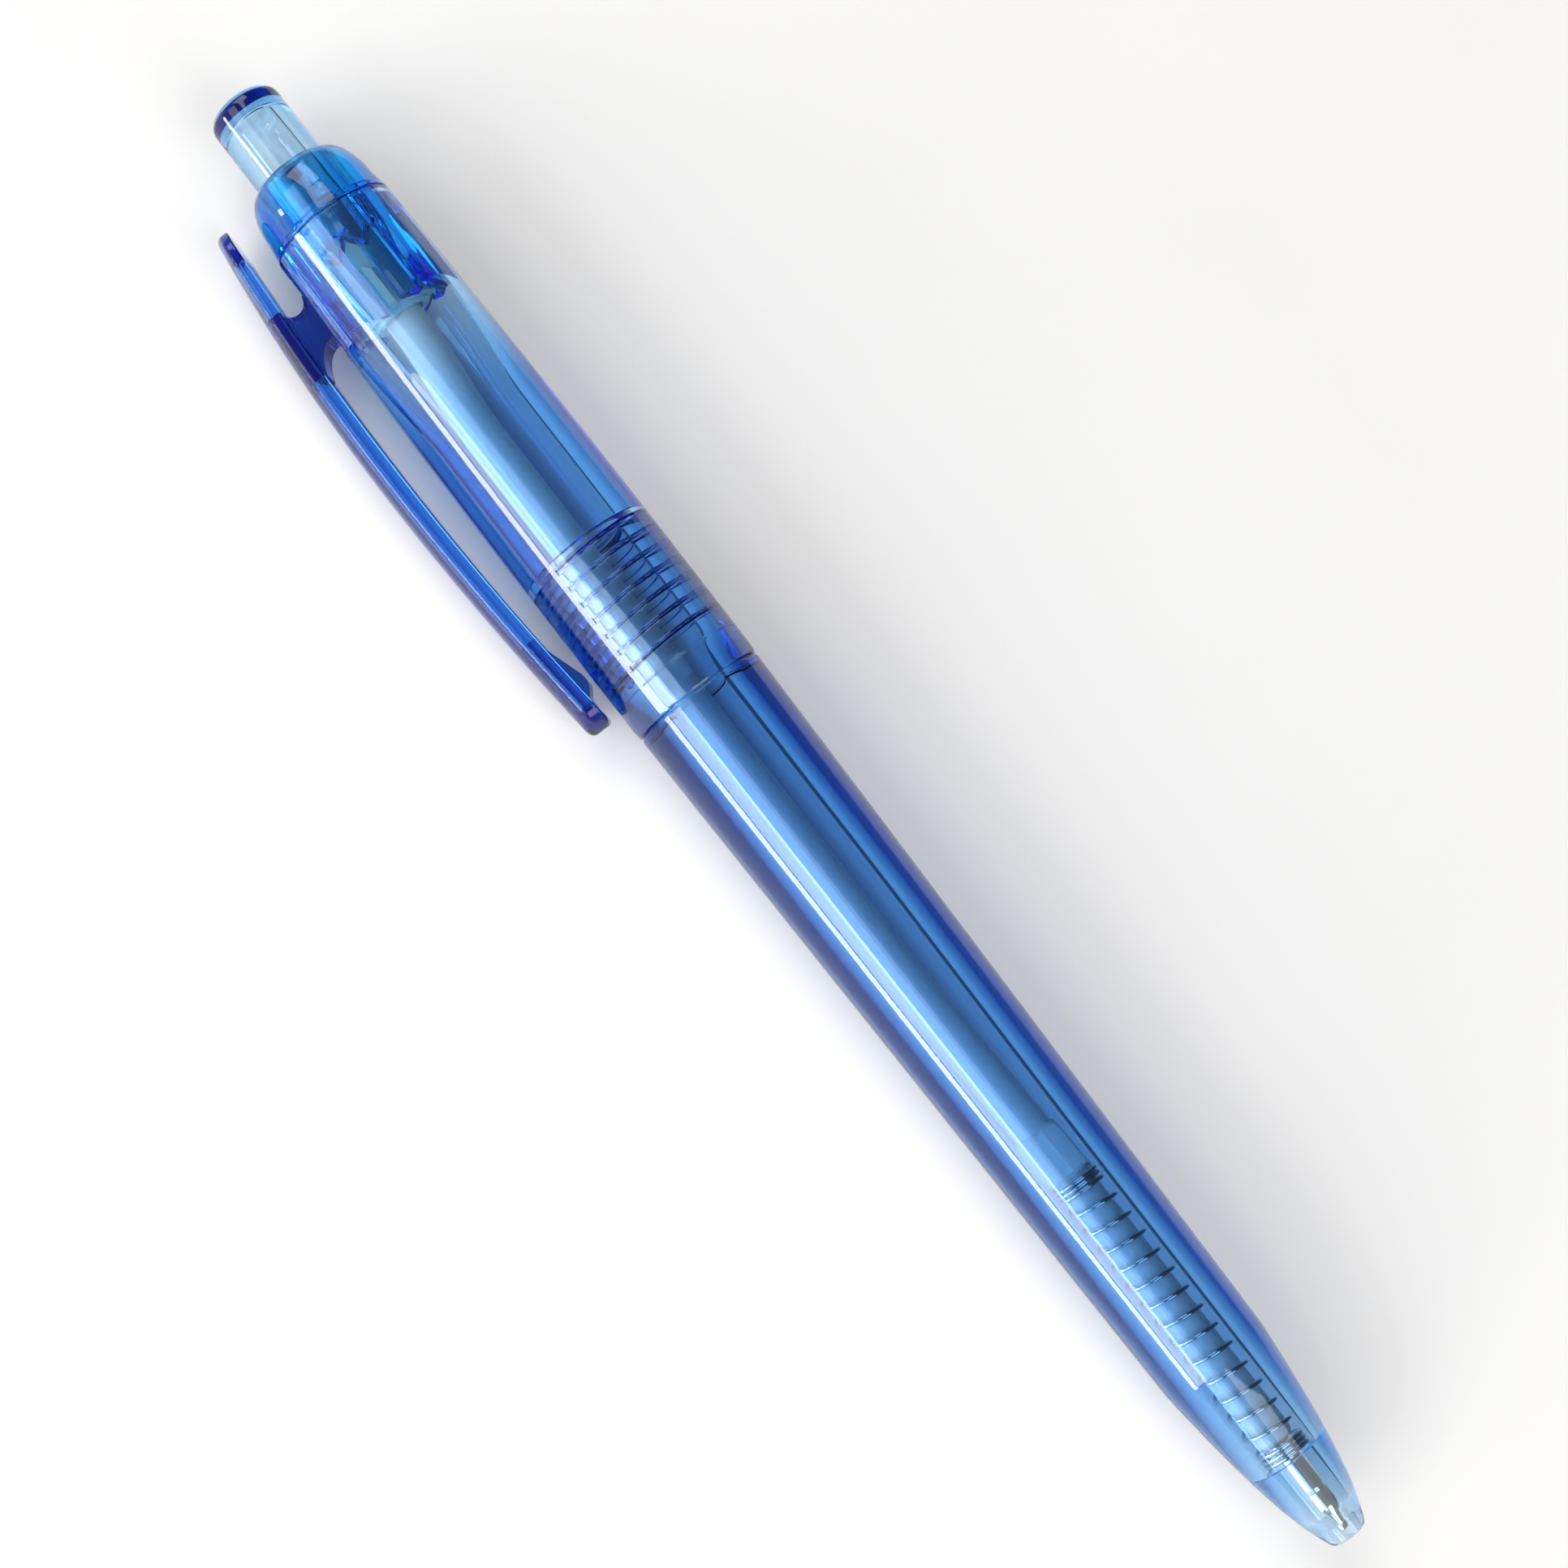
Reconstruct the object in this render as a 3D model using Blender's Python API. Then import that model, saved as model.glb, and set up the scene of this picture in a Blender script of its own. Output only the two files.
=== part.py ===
# Pushbutton ballpoint pen: screwed two-piece barrel, end cap with a cam guide, clip, button, cam rotor,
# refill with pinched ears, ball point and return spring. Units are metres.
#
# Every piece is modelled in the pen's own frame: Z runs up the axis from the nose end (0) to the button,
# X points at the clip. The empty pen_axis then lays the pen on the table, nose towards world +X, resting
# on its barrel and on the edge of its clip.

import math

import bmesh
import bpy
import numpy as np
from mathutils import Matrix, Vector

MM = 0.001

# Heights along the axis, from the nose end
NOSE_EDGE_Z = 16.5 * MM
JOINT_Z = 81.3 * MM
SPIGOT_TOP_Z = 95.9 * MM
CAP_SEAM_Z = 129.2 * MM
CAP_TOP_Z = 134.6 * MM
BUTTON_TOP_Z = 142.0 * MM

# Lower barrel
LOWER_TOP_RADIUS = 5.70 * MM
NOSE_EDGE_RADIUS = 4.66 * MM
NOSE_BEND = (3.58 * MM, 4.5 * MM)
NOSE_TIP_RADIUS = 1.95 * MM
NOSE_TIP_Z = 0.9 * MM
NOSE_TIP_BEND = (1.65 * MM, 0.0)
NOSE_FACE_RADIUS = 1.5 * MM
MOUTH_RADIUS = 1.25 * MM
MOUTH_LENGTH = 1.5 * MM
MOUTH_CONE_Z = 2.6 * MM
TIP_BORE_RADIUS = 1.78 * MM
SPRING_SEAT_Z = 7.5 * MM
SPRING_BORE_RADIUS = 2.33 * MM
SPRING_BORE_TOP_Z = 38.0 * MM
REFILL_BORE_RADIUS = 2.55 * MM
REFILL_BORE_Z = 60.0 * MM
SPIGOT_RADIUS = 4.45 * MM
SPIGOT_CHAMFER = 0.4 * MM

# Upper barrel
UPPER_MAX_RADIUS = 5.815 * MM
UPPER_MAX_Z = 93.0 * MM
UPPER_TOP_RADIUS = 5.36 * MM
JOINT_LIP = 0.08 * MM
JOINT_LIP_LENGTH = 0.8 * MM
JOINT_GAP = 0.15 * MM
SOCKET_RADIUS = 4.78 * MM
SOCKET_TOP_Z = 96.3 * MM
UPPER_BORE_RADIUS = 3.6 * MM
CHAMBER_RADIUS = 4.15 * MM
CHAMBER_TAPER_Z = 110.0 * MM
CHAMBER_LOW_Z = 114.2 * MM
CHAMBER_TOP_Z = 119.2 * MM
CAP_SOCKET_RADIUS = 4.62 * MM
SLOT_RUN_OUT = 1.0 * MM

# End cap with the cam guide inside it
CAP_MOUTH_RADIUS = 3.5 * MM
CAP_SHOULDER_Z = 130.9 * MM
CAP_SHOULDER_RADIUS = 5.10 * MM
CAP_SPIGOT_RADIUS = 4.45 * MM
GUIDE_TOP_Z = 130.0 * MM
GUIDE_SLOT_TOP_Z = 127.0 * MM
RIB_RADIUS = 3.4 * MM
DEEP_GROOVE_RADIUS = 4.0 * MM
SHALLOW_GROOVE_RADIUS = 3.72 * MM
LATCH_SLOPE_Z = (120.1 * MM, 119.7 * MM)
RETURN_SLOPE_Z = (120.85 * MM, 119.4 * MM)
CAM_PITCHES = 8
CAM_PHASE = -22.5
RIB_ANGLES = (-12.0, 0.0, 12.0)
GROOVE_ANGLES = (14.5, 22.5, 30.5)
FIN_ANGLES = (17.5, 22.5, 27.5)
FIN_ROOT_ANGLES = (15.5, 29.5)
RIB_BACK_ANGLE = 33.0

# Button
BUTTON_RADIUS = 3.12 * MM
BUTTON_FACE_RADIUS = 2.0 * MM
BUTTON_BORE_RADIUS = 2.2 * MM
BUTTON_BORE_TOP_RADIUS = 1.9 * MM
BUTTON_BORE_TOP_Z = 140.3 * MM
BUTTON_FIN_RADIUS = 3.55 * MM
BUTTON_FIN_TOP_Z = 129.7 * MM
FIN_LEAD = 0.15 * MM
TOOTH_HIGH_Z = 127.1 * MM
TOOTH_LOW_Z = 125.7 * MM

# Cam rotor, which turns the press into a latch and carries the refill's top
CAM_GAP = 0.45 * MM
ROTOR_PIN_RADIUS = 1.7 * MM
ROTOR_PIN_TOP_Z = 131.0 * MM
ROTOR_PIN_CHAMFER = 0.3 * MM
ROTOR_RADIUS = 3.05 * MM
ROTOR_FIN_RADIUS = 3.75 * MM
ROTOR_FIN_HIGH_Z = 124.2 * MM
ROTOR_FIN_LOW_Z = 123.55 * MM
ROTOR_FIN_END_Z = 120.2 * MM
ROTOR_NECK_Z = 119.95 * MM
ROTOR_STEM_RADIUS = 2.6 * MM
ROTOR_END_Z = 119.6 * MM
ROTOR_CUP_RADIUS = 1.9 * MM
ROTOR_CUP_Z = 122.9 * MM

# Refill
TUBE_RADIUS = 1.63 * MM
TUBE_BORE_RADIUS = 1.1 * MM
TUBE_TOP_Z = 122.5 * MM
TUBE_FRONT_RADIUS = 1.55 * MM
TUBE_END_Z = 9.1 * MM
TUBE_END_ROUND = 0.5 * MM
EAR_TOP_Z = 38.5 * MM
EAR_END_Z = 34.6 * MM
EAR_RAMP = 0.7 * MM
EAR_RISE = 0.27 * MM
EAR_DENT = 0.18 * MM
INK_RADIUS = 1.0 * MM
INK_LOW_Z = 12.5 * MM
INK_TOP_Z = 92.0 * MM

# Ball point
POINT_RADIUS = 0.98 * MM
POINT_TOP_Z = 12.1 * MM
POINT_TOP_CHAMFER = (0.1 * MM, 0.2 * MM)
POINT_CONE_Z = 3.1 * MM
POINT_LIP_RADIUS = 0.44 * MM
POINT_LIP_Z = 0.95 * MM
POINT_LIP_LENGTH = 0.2 * MM
POINT_LIP_EDGE_RADIUS = 0.38 * MM
INK_CHANNEL_RADIUS = 0.2 * MM
BALL_RADIUS = 0.35 * MM
BALL_Z = 1.15 * MM
BALL_GAP = 0.045 * MM

# Return spring, wound left-handed
WIRE = 0.38 * MM
SPRING_RADIUS = 1.905 * MM
SPRING_GAP = 0.3 * MM
SPRING_END_TURNS = 2.5
SPRING_END_PITCH = 0.86 * MM
SPRING_PITCH = 1.77 * MM
POINTS_PER_TURN = 9

# Clip
CLIP_TOP_Z = 134.3 * MM
CLIP_END_Z = 84.0 * MM
CLIP_PEAK_Z = 110.0 * MM
CLIP_OUTER_PEAK = 9.96 * MM
CLIP_OUTER_DROP = (1.75 * MM, 1.30 * MM)
CLIP_INNER_PEAK = 7.87 * MM
CLIP_INNER_DROP = (0.93 * MM, 1.30 * MM)
CLIP_HALF_WIDTH = 2.6 * MM
CLIP_EDGE_SHARE = 0.55
CLIP_END_SHARE = 0.985
CLIP_HOLLOW_SHARE = 0.5
CLIP_HOLLOW_HALF_WIDTH = 1.7 * MM
CLIP_HOLLOW_DRAFT = 0.85
CLIP_HOLLOW_RUN_OUT = 1.0 * MM
CLIP_HOLLOW_Z = (85.8 * MM, 131.5 * MM)
WEB_HALF_WIDTH = 1.5 * MM
WEB_TOP_Z = 125.0 * MM
WEB_LOW_Z = 121.9 * MM
WEB_ROOT = 1.35 * MM
WEB_NOTCH_X = 6.5 * MM
WEB_NOTCH_SIZE = (1.05 * MM, 1.0 * MM)
WEB_SWEEP_X = 6.9 * MM
WEB_SWEEP_LENGTH = 2.2 * MM
WEB_SWEEP_SINK = 0.05 * MM
WEB_FOOT_SINK = 0.1 * MM
FOOT_HALF_WIDTH = 1.9 * MM
FOOT_INNER = 4.78 * MM
FOOT_OUTER = 5.32 * MM
FOOT_Z = (120.3 * MM, 128.9 * MM)
FOOT_GAP = 0.22 * MM
FOOT_DEPTH_GAP = 0.66 * MM
PAD_HALF_WIDTH = 1.2 * MM
PAD_TOP_Z = 92.9 * MM
PAD_LAND_Z = (87.5 * MM, 88.3 * MM)
PAD_LAND = 6.12 * MM
PAD_END_Z = 86.1 * MM
PAD_ROOT = 1.4 * MM
PAD_SINK = 0.3 * MM
CLIP_PIVOT = (5.05 * MM, 0.0, 123.3 * MM)

SEGMENTS = 48
SMALL_SEGMENTS = 32
TUBE_SEGMENTS = 24
POINT_SEGMENTS = 20
SHARP_ANGLE = math.radians(35)


def clear_scene():
    for old in list(bpy.data.objects):
        bpy.data.objects.remove(old)


def plastic(name, colour, roughness=0.12, clear=0.0, metallic=0.0):
    made = bpy.data.materials.new(name)
    made.use_nodes = True
    shader = made.node_tree.nodes["Principled BSDF"]
    shader.inputs["Base Color"].default_value = (*colour, 1.0)
    shader.inputs["Roughness"].default_value = roughness
    shader.inputs["Metallic"].default_value = metallic
    shader.inputs["Transmission Weight"].default_value = clear
    made.diffuse_color = (*colour, 1.0 - 0.6 * clear)
    made.roughness = roughness
    made.metallic = metallic
    return made


# Points of an elliptical quarter or part of one, between two angles counted from the outward radius.
def arc(centre, radii, start_deg, end_deg, count):
    turn = np.radians(np.linspace(start_deg, end_deg, count))
    return [(centre[0] + radii[0] * math.cos(a), centre[1] + radii[1] * math.sin(a)) for a in turn]


# Points of a curve that leaves start towards bend and reaches end from it.
def curve(start, bend, end, count):
    points = []
    for t in np.linspace(0.0, 1.0, count):
        weights = ((1 - t) ** 2, 2 * t * (1 - t), t * t)
        radius = weights[0] * start[0] + weights[1] * bend[0] + weights[2] * end[0]
        height = weights[0] * start[1] + weights[1] * bend[1] + weights[2] * end[1]
        points.append((radius, height))
    return points


def add_object(name, mesh, parent, material=None):
    made = bpy.data.objects.new(name, mesh)
    bpy.context.scene.collection.objects.link(made)
    made.parent = parent
    if material:
        mesh.materials.append(material)
    return made


# A piece turned round the axis from a closed outline of (radius, height) points, outer side downwards.
def turned(name, outline, parent, material, segments=SEGMENTS):
    mesh = bpy.data.meshes.new(name)
    count = len(outline)
    points = [(radius, 0.0, height) for radius, height in outline]
    mesh.from_pydata(points, [(i, (i + 1) % count) for i in range(count)], [])
    made = add_object(name, mesh, parent, material)
    screw = made.modifiers.new("turn", "SCREW")
    screw.steps = segments
    screw.render_steps = segments
    screw.use_merge_vertices = True
    screw.merge_threshold = 0.000001
    screw.use_smooth_shade = True
    return made


# One loop of points round the axis. radii and heights are single values or one for each angle.
def ring(angles, radii, heights):
    radii = np.broadcast_to(radii, angles.shape)
    heights = np.broadcast_to(heights, angles.shape)
    return np.column_stack((radii * np.cos(angles), radii * np.sin(angles), heights))


# A skin over a row of equal loops. A closed row joins its last loop to its first, an open one gets two lids.
def skinned(name, rings, parent, material, closed):
    loops = len(rings)
    size = len(rings[0])
    faces = []
    for k in range(loops if closed else loops - 1):
        here = k * size
        there = ((k + 1) % loops) * size
        for i in range(size):
            j = (i + 1) % size
            faces.append((here + i, there + i, there + j, here + j))
    if not closed:
        faces.append(tuple(range(size)))
        faces.append(tuple(range(loops * size - 1, (loops - 1) * size - 1, -1)))
    mesh = bpy.data.meshes.new(name)
    mesh.from_pydata(np.concatenate(rings).tolist(), [], faces)
    shell = bmesh.new()
    shell.from_mesh(mesh)
    bmesh.ops.recalc_face_normals(shell, faces=shell.faces)
    shell.to_mesh(mesh)
    shell.free()
    mesh.shade_smooth()
    mesh.set_sharp_from_angle(angle=SHARP_ANGLE)
    return add_object(name, mesh, parent, material)


# A straight bar along Y whose cross-section is an outline of (x, z) points.
def prism(name, outline, half_width, parent):
    bar = bmesh.new()
    near = [bar.verts.new((x, -half_width, z)) for x, z in outline]
    face = bar.faces.new(near)
    grown = bmesh.ops.extrude_face_region(bar, geom=[face])
    moved = [part for part in grown["geom"] if isinstance(part, bmesh.types.BMVert)]
    bmesh.ops.translate(bar, vec=(0.0, 2 * half_width, 0.0), verts=moved)
    bmesh.ops.recalc_face_normals(bar, faces=bar.faces)
    mesh = bpy.data.meshes.new(name)
    bar.to_mesh(mesh)
    bar.free()
    return add_object(name, mesh, parent)


# A helper solid joined to, or cut from, a piece. It isn't a piece itself.
def boolean(target, helper, operation):
    helper.hide_render = True
    helper.display_type = "WIRE"
    step = target.modifiers.new(helper.name, "BOOLEAN")
    step.operation = operation
    step.solver = "EXACT"
    step.object = helper


# Angles of one full turn, from the angles of one cam pitch.
def cam_angles(pitch_angles):
    pitch = 360.0 / CAM_PITCHES
    turn = [CAM_PHASE + k * pitch + a for k in range(CAM_PITCHES) for a in pitch_angles]
    return np.radians(np.array(turn))


# Values round the turn, from one list for the even pitches and one for the odd ones.
def cam_values(even, odd=None):
    pair = list(even) + list(even if odd is None else odd)
    return np.array(pair * (CAM_PITCHES // 2))


def outer_taper_radius(height):
    share = (height - NOSE_EDGE_Z) / (JOINT_Z - NOSE_EDGE_Z)
    return NOSE_EDGE_RADIUS + share * (LOWER_TOP_RADIUS - NOSE_EDGE_RADIUS)


# The upper barrel swells slightly: its radius falls off with the square of the way from its widest place.
def upper_radius(height):
    fall = (UPPER_MAX_RADIUS - UPPER_TOP_RADIUS) / (CAP_SEAM_Z - UPPER_MAX_Z) ** 2
    return UPPER_MAX_RADIUS - fall * (height - UPPER_MAX_Z) ** 2


def make_lower_barrel(parent, material):
    outline = [(SPIGOT_RADIUS - SPIGOT_CHAMFER, SPIGOT_TOP_Z)]
    outline += [(SPIGOT_RADIUS, SPIGOT_TOP_Z - SPIGOT_CHAMFER)]
    outline += [(SPIGOT_RADIUS, JOINT_Z)]
    outline += [(outer_taper_radius(z), z) for z in np.linspace(JOINT_Z, NOSE_EDGE_Z, 5)]
    nose_tip = (NOSE_TIP_RADIUS, NOSE_TIP_Z)
    outline += curve((NOSE_EDGE_RADIUS, NOSE_EDGE_Z), NOSE_BEND, nose_tip, 9)[1:]
    outline += curve(nose_tip, NOSE_TIP_BEND, (NOSE_FACE_RADIUS, 0.0), 4)[1:]
    outline += [(MOUTH_RADIUS, 0.0), (MOUTH_RADIUS, MOUTH_LENGTH), (TIP_BORE_RADIUS, MOUTH_CONE_Z)]
    outline += [(TIP_BORE_RADIUS, SPRING_SEAT_Z), (SPRING_BORE_RADIUS, SPRING_SEAT_Z)]
    outline += [(SPRING_BORE_RADIUS, SPRING_BORE_TOP_Z), (REFILL_BORE_RADIUS, REFILL_BORE_Z)]
    outline += [(REFILL_BORE_RADIUS, SPIGOT_TOP_Z)]
    return turned("lower_barrel", outline, parent, material)


def make_upper_barrel(parent, material):
    low_z = JOINT_Z + JOINT_GAP
    outline = [(upper_radius(z), z) for z in np.linspace(CAP_SEAM_Z, low_z + JOINT_LIP_LENGTH, 11)]
    outline += [(upper_radius(low_z) - JOINT_LIP, low_z)]
    outline += [(SOCKET_RADIUS, low_z), (SOCKET_RADIUS, SOCKET_TOP_Z)]
    outline += [(UPPER_BORE_RADIUS, SOCKET_TOP_Z), (UPPER_BORE_RADIUS, CHAMBER_TAPER_Z)]
    outline += [(CHAMBER_RADIUS, CHAMBER_LOW_Z), (CAP_SOCKET_RADIUS, CHAMBER_TOP_Z)]
    outline += [(CAP_SOCKET_RADIUS, CAP_SEAM_Z)]
    barrel = turned("upper_barrel", outline, parent, material)
    slot = dovetail("clip_slot", FOOT_GAP, FOOT_DEPTH_GAP, CAP_SEAM_Z + SLOT_RUN_OUT, parent)
    boolean(barrel, slot, "DIFFERENCE")
    return barrel


# The clip's foot: a bar whose sides lean so that it is wider inside the barrel wall than outside. The
# slot that it slides down is the same bar grown by a gap and run out through the barrel's top edge.
def dovetail(name, gap, depth_gap, top_z, parent):
    inner_x = FOOT_INNER - depth_gap
    outer_x = FOOT_OUTER + depth_gap
    lean = (FOOT_HALF_WIDTH - WEB_HALF_WIDTH) / (FOOT_OUTER - FOOT_INNER)
    inner_y = FOOT_HALF_WIDTH + gap + lean * (FOOT_INNER - inner_x)
    outer_y = WEB_HALF_WIDTH + gap - lean * (outer_x - FOOT_OUTER)
    bottom_z = FOOT_Z[0] - gap
    section = [(inner_x, -inner_y), (outer_x, -outer_y), (outer_x, outer_y), (inner_x, inner_y)]
    rings = [np.array([(x, y, z) for x, y in section]) for z in (top_z, bottom_z)]
    return skinned(name, rings, parent, None, closed=False)


# The cap's spigot is slit at the deep grooves into four fingers. Each finger ends in two slopes with a step
# between them: one leads the rotor's fins into the latch, the other back to the next deep groove.
def make_end_cap(parent, material):
    angles = cam_angles(RIB_ANGLES + GROOVE_ANGLES)
    deep = [RIB_RADIUS] * 3 + [DEEP_GROOVE_RADIUS] * 3
    shallow = [RIB_RADIUS] * 3 + [SHALLOW_GROOVE_RADIUS] * 3
    guide = cam_values(deep, shallow)
    back_slope = list(np.linspace(RETURN_SLOPE_Z[0], RETURN_SLOPE_Z[1], 6))
    latch_slope = list(np.linspace(LATCH_SLOPE_Z[0], LATCH_SLOPE_Z[1], 3))
    guide_end = cam_values(back_slope[3:] + [GUIDE_SLOT_TOP_Z] * 3, latch_slope + back_slope[:3])
    shoulder_size = (CAP_SHOULDER_RADIUS - CAP_MOUTH_RADIUS, CAP_TOP_Z - CAP_SHOULDER_Z)
    shoulder = arc((CAP_MOUTH_RADIUS, CAP_SHOULDER_Z), shoulder_size, 84.0, 0.0, 8)
    rings = [ring(angles, CAP_MOUTH_RADIUS, CAP_TOP_Z)]
    rings += [ring(angles, radius, height) for radius, height in shoulder]
    rings += [ring(angles, UPPER_TOP_RADIUS, CAP_SEAM_Z + JOINT_GAP)]
    rings += [ring(angles, CAP_SPIGOT_RADIUS, CAP_SEAM_Z + JOINT_GAP)]
    rings += [ring(angles, CAP_SPIGOT_RADIUS, guide_end)]
    rings += [ring(angles, guide, guide_end)]
    rings += [ring(angles, guide, GUIDE_TOP_Z)]
    rings += [ring(angles, CAP_MOUTH_RADIUS, GUIDE_TOP_Z)]
    return skinned("end_cap", rings, parent, material, closed=True)


# Height of the V-shaped cam teeth round one pitch: low behind each rib and high in each groove.
def tooth_heights(pitch_angles, shift):
    peak = GROOVE_ANGLES[1]
    away = np.abs(np.array(pitch_angles) - peak) / peak
    return list(TOOTH_HIGH_Z - shift - away * (TOOTH_HIGH_Z - TOOTH_LOW_Z))


# Angles of one pitch of the button or rotor: half a rib, a fin with its two roots, and the next rib's back.
def fin_pitch():
    return RIB_ANGLES[1:] + FIN_ROOT_ANGLES[:1] + FIN_ANGLES + FIN_ROOT_ANGLES[1:] + (RIB_BACK_ANGLE,)


def make_push_button(parent, material):
    pitch_angles = fin_pitch()
    angles = cam_angles(pitch_angles)
    fins = cam_values([BUTTON_RADIUS] * 3 + [BUTTON_FIN_RADIUS] * 3 + [BUTTON_RADIUS] * 2)
    teeth = cam_values(tooth_heights(pitch_angles, 0.0))
    edge = BUTTON_RADIUS - BUTTON_FACE_RADIUS
    rounding = arc((BUTTON_FACE_RADIUS, BUTTON_TOP_Z - edge), (edge, edge), 90.0, 0.0, 6)
    rings = [ring(angles, radius, height) for radius, height in rounding]
    rings += [ring(angles, BUTTON_RADIUS, BUTTON_FIN_TOP_Z)]
    rings += [ring(angles, fins, BUTTON_FIN_TOP_Z - FIN_LEAD)]
    rings += [ring(angles, fins, teeth)]
    rings += [ring(angles, BUTTON_BORE_RADIUS, teeth)]
    rings += [ring(angles, BUTTON_BORE_TOP_RADIUS, BUTTON_BORE_TOP_Z)]
    return skinned("push_button", rings, parent, material, closed=False)


def make_cam_rotor(parent, material):
    pitch_angles = fin_pitch()
    angles = cam_angles(pitch_angles)
    plain = [ROTOR_RADIUS] * len(pitch_angles)
    finned = [ROTOR_RADIUS] * 3 + [ROTOR_FIN_RADIUS] * 3 + [ROTOR_RADIUS] * 2
    fins = cam_values(finned, plain)
    fin_slope = list(np.linspace(ROTOR_FIN_HIGH_Z, ROTOR_FIN_LOW_Z, 3))
    fin_tops = cam_values([ROTOR_FIN_HIGH_Z] * 3 + fin_slope + [ROTOR_FIN_LOW_Z] * 2)
    crown = cam_values(tooth_heights(pitch_angles, CAM_GAP))
    rings = [ring(angles, ROTOR_PIN_RADIUS - ROTOR_PIN_CHAMFER, ROTOR_PIN_TOP_Z)]
    rings += [ring(angles, ROTOR_PIN_RADIUS, ROTOR_PIN_TOP_Z - ROTOR_PIN_CHAMFER)]
    rings += [ring(angles, ROTOR_PIN_RADIUS, crown)]
    rings += [ring(angles, ROTOR_RADIUS, crown)]
    rings += [ring(angles, ROTOR_RADIUS, fin_tops + FIN_LEAD)]
    rings += [ring(angles, fins, fin_tops)]
    rings += [ring(angles, fins, ROTOR_FIN_END_Z)]
    rings += [ring(angles, ROTOR_RADIUS, ROTOR_FIN_END_Z - FIN_LEAD)]
    rings += [ring(angles, ROTOR_STEM_RADIUS, ROTOR_NECK_Z)]
    rings += [ring(angles, ROTOR_STEM_RADIUS, ROTOR_END_Z)]
    rings += [ring(angles, ROTOR_CUP_RADIUS, ROTOR_END_Z)]
    rings += [ring(angles, ROTOR_CUP_RADIUS, ROTOR_CUP_Z)]
    return skinned("cam_rotor", rings, parent, material, closed=False)


# The tube is pinched flat over a short length: two ears stand out and the sides between them dent in.
def make_refill_tube(parent, material):
    angles = np.radians(np.arange(TUBE_SEGMENTS) * 360.0 / TUBE_SEGMENTS)
    swing = np.cos(2 * angles)
    ears = TUBE_RADIUS + np.where(swing > 0, EAR_RISE, EAR_DENT) * swing
    nose_centre = (TUBE_FRONT_RADIUS - TUBE_END_ROUND, TUBE_END_Z + TUBE_END_ROUND)
    nose = arc(nose_centre, (TUBE_END_ROUND, TUBE_END_ROUND), 0, -80, 5)
    rings = [ring(angles, TUBE_RADIUS, TUBE_TOP_Z)]
    rings += [ring(angles, TUBE_RADIUS, EAR_TOP_Z + EAR_RAMP)]
    rings += [ring(angles, ears, EAR_TOP_Z)]
    rings += [ring(angles, ears, EAR_END_Z)]
    rings += [ring(angles, TUBE_FRONT_RADIUS, EAR_END_Z - FIN_LEAD)]
    rings += [ring(angles, radius, height) for radius, height in nose]
    rings += [ring(angles, TUBE_BORE_RADIUS, TUBE_END_Z)]
    rings += [ring(angles, TUBE_BORE_RADIUS, TUBE_TOP_Z)]
    return skinned("refill_tube", rings, parent, material, closed=True)


def make_ink_column(parent, material):
    outline = [(0.0, INK_TOP_Z), (INK_RADIUS, INK_TOP_Z), (INK_RADIUS, INK_LOW_Z), (0.0, INK_LOW_Z)]
    return turned("ink_column", outline, parent, material, POINT_SEGMENTS)


# The point is drilled through for the ink and ends in a cup that the lip closes round the ball.
def make_point_body(parent, material):
    cup_radius = BALL_RADIUS + BALL_GAP
    low_deg = math.degrees(math.asin((POINT_LIP_Z - BALL_Z) / cup_radius))
    high_deg = math.degrees(math.acos(INK_CHANNEL_RADIUS / cup_radius))
    outline = [(POINT_RADIUS - POINT_TOP_CHAMFER[0], POINT_TOP_Z)]
    outline += [(POINT_RADIUS, POINT_TOP_Z - POINT_TOP_CHAMFER[1])]
    outline += [(POINT_RADIUS, POINT_CONE_Z), (POINT_LIP_RADIUS, POINT_LIP_Z + POINT_LIP_LENGTH)]
    outline += [(POINT_LIP_EDGE_RADIUS, POINT_LIP_Z)]
    outline += arc((0.0, BALL_Z), (cup_radius, cup_radius), low_deg, high_deg, 6)
    outline += [(INK_CHANNEL_RADIUS, POINT_TOP_Z)]
    return turned("point_body", outline, parent, material, POINT_SEGMENTS)


def make_writing_ball(parent, material):
    ball = bmesh.new()
    bmesh.ops.create_uvsphere(ball, u_segments=16, v_segments=10, radius=BALL_RADIUS)
    mesh = bpy.data.meshes.new("writing_ball")
    ball.to_mesh(mesh)
    ball.free()
    mesh.shade_smooth()
    made = add_object("writing_ball", mesh, parent, material)
    made.location = (0.0, 0.0, BALL_Z)
    return made


# Points of the wire's centre line. The height climbs slowly over the end turns and faster between them.
def spring_points():
    low = SPRING_SEAT_Z + SPRING_GAP + WIRE / 2
    high = EAR_END_Z - FIN_LEAD - SPRING_GAP - WIRE / 2
    end_rise = SPRING_END_TURNS * SPRING_END_PITCH
    active_turns = (high - low - 2 * end_rise) / SPRING_PITCH
    turns = 2 * SPRING_END_TURNS + active_turns
    knots = (0.0, SPRING_END_TURNS, SPRING_END_TURNS + active_turns, turns)
    levels = (low, low + end_rise, high - end_rise, high)
    along = np.linspace(0.0, turns, round(turns * POINTS_PER_TURN) + 1)
    height = np.interp(along, knots, levels)
    angle = -2 * np.pi * along
    return np.column_stack((SPRING_RADIUS * np.cos(angle), SPRING_RADIUS * np.sin(angle), height))


# The least clear space between two stretches of wire at least half a turn apart.
def least_gap(points):
    gaps = np.linalg.norm(points[:, None, :] - points[None, :, :], axis=2)
    index = np.arange(len(points))
    apart = np.abs(index[:, None] - index[None, :]) > POINTS_PER_TURN // 2
    return gaps[apart].min() - WIRE


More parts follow.
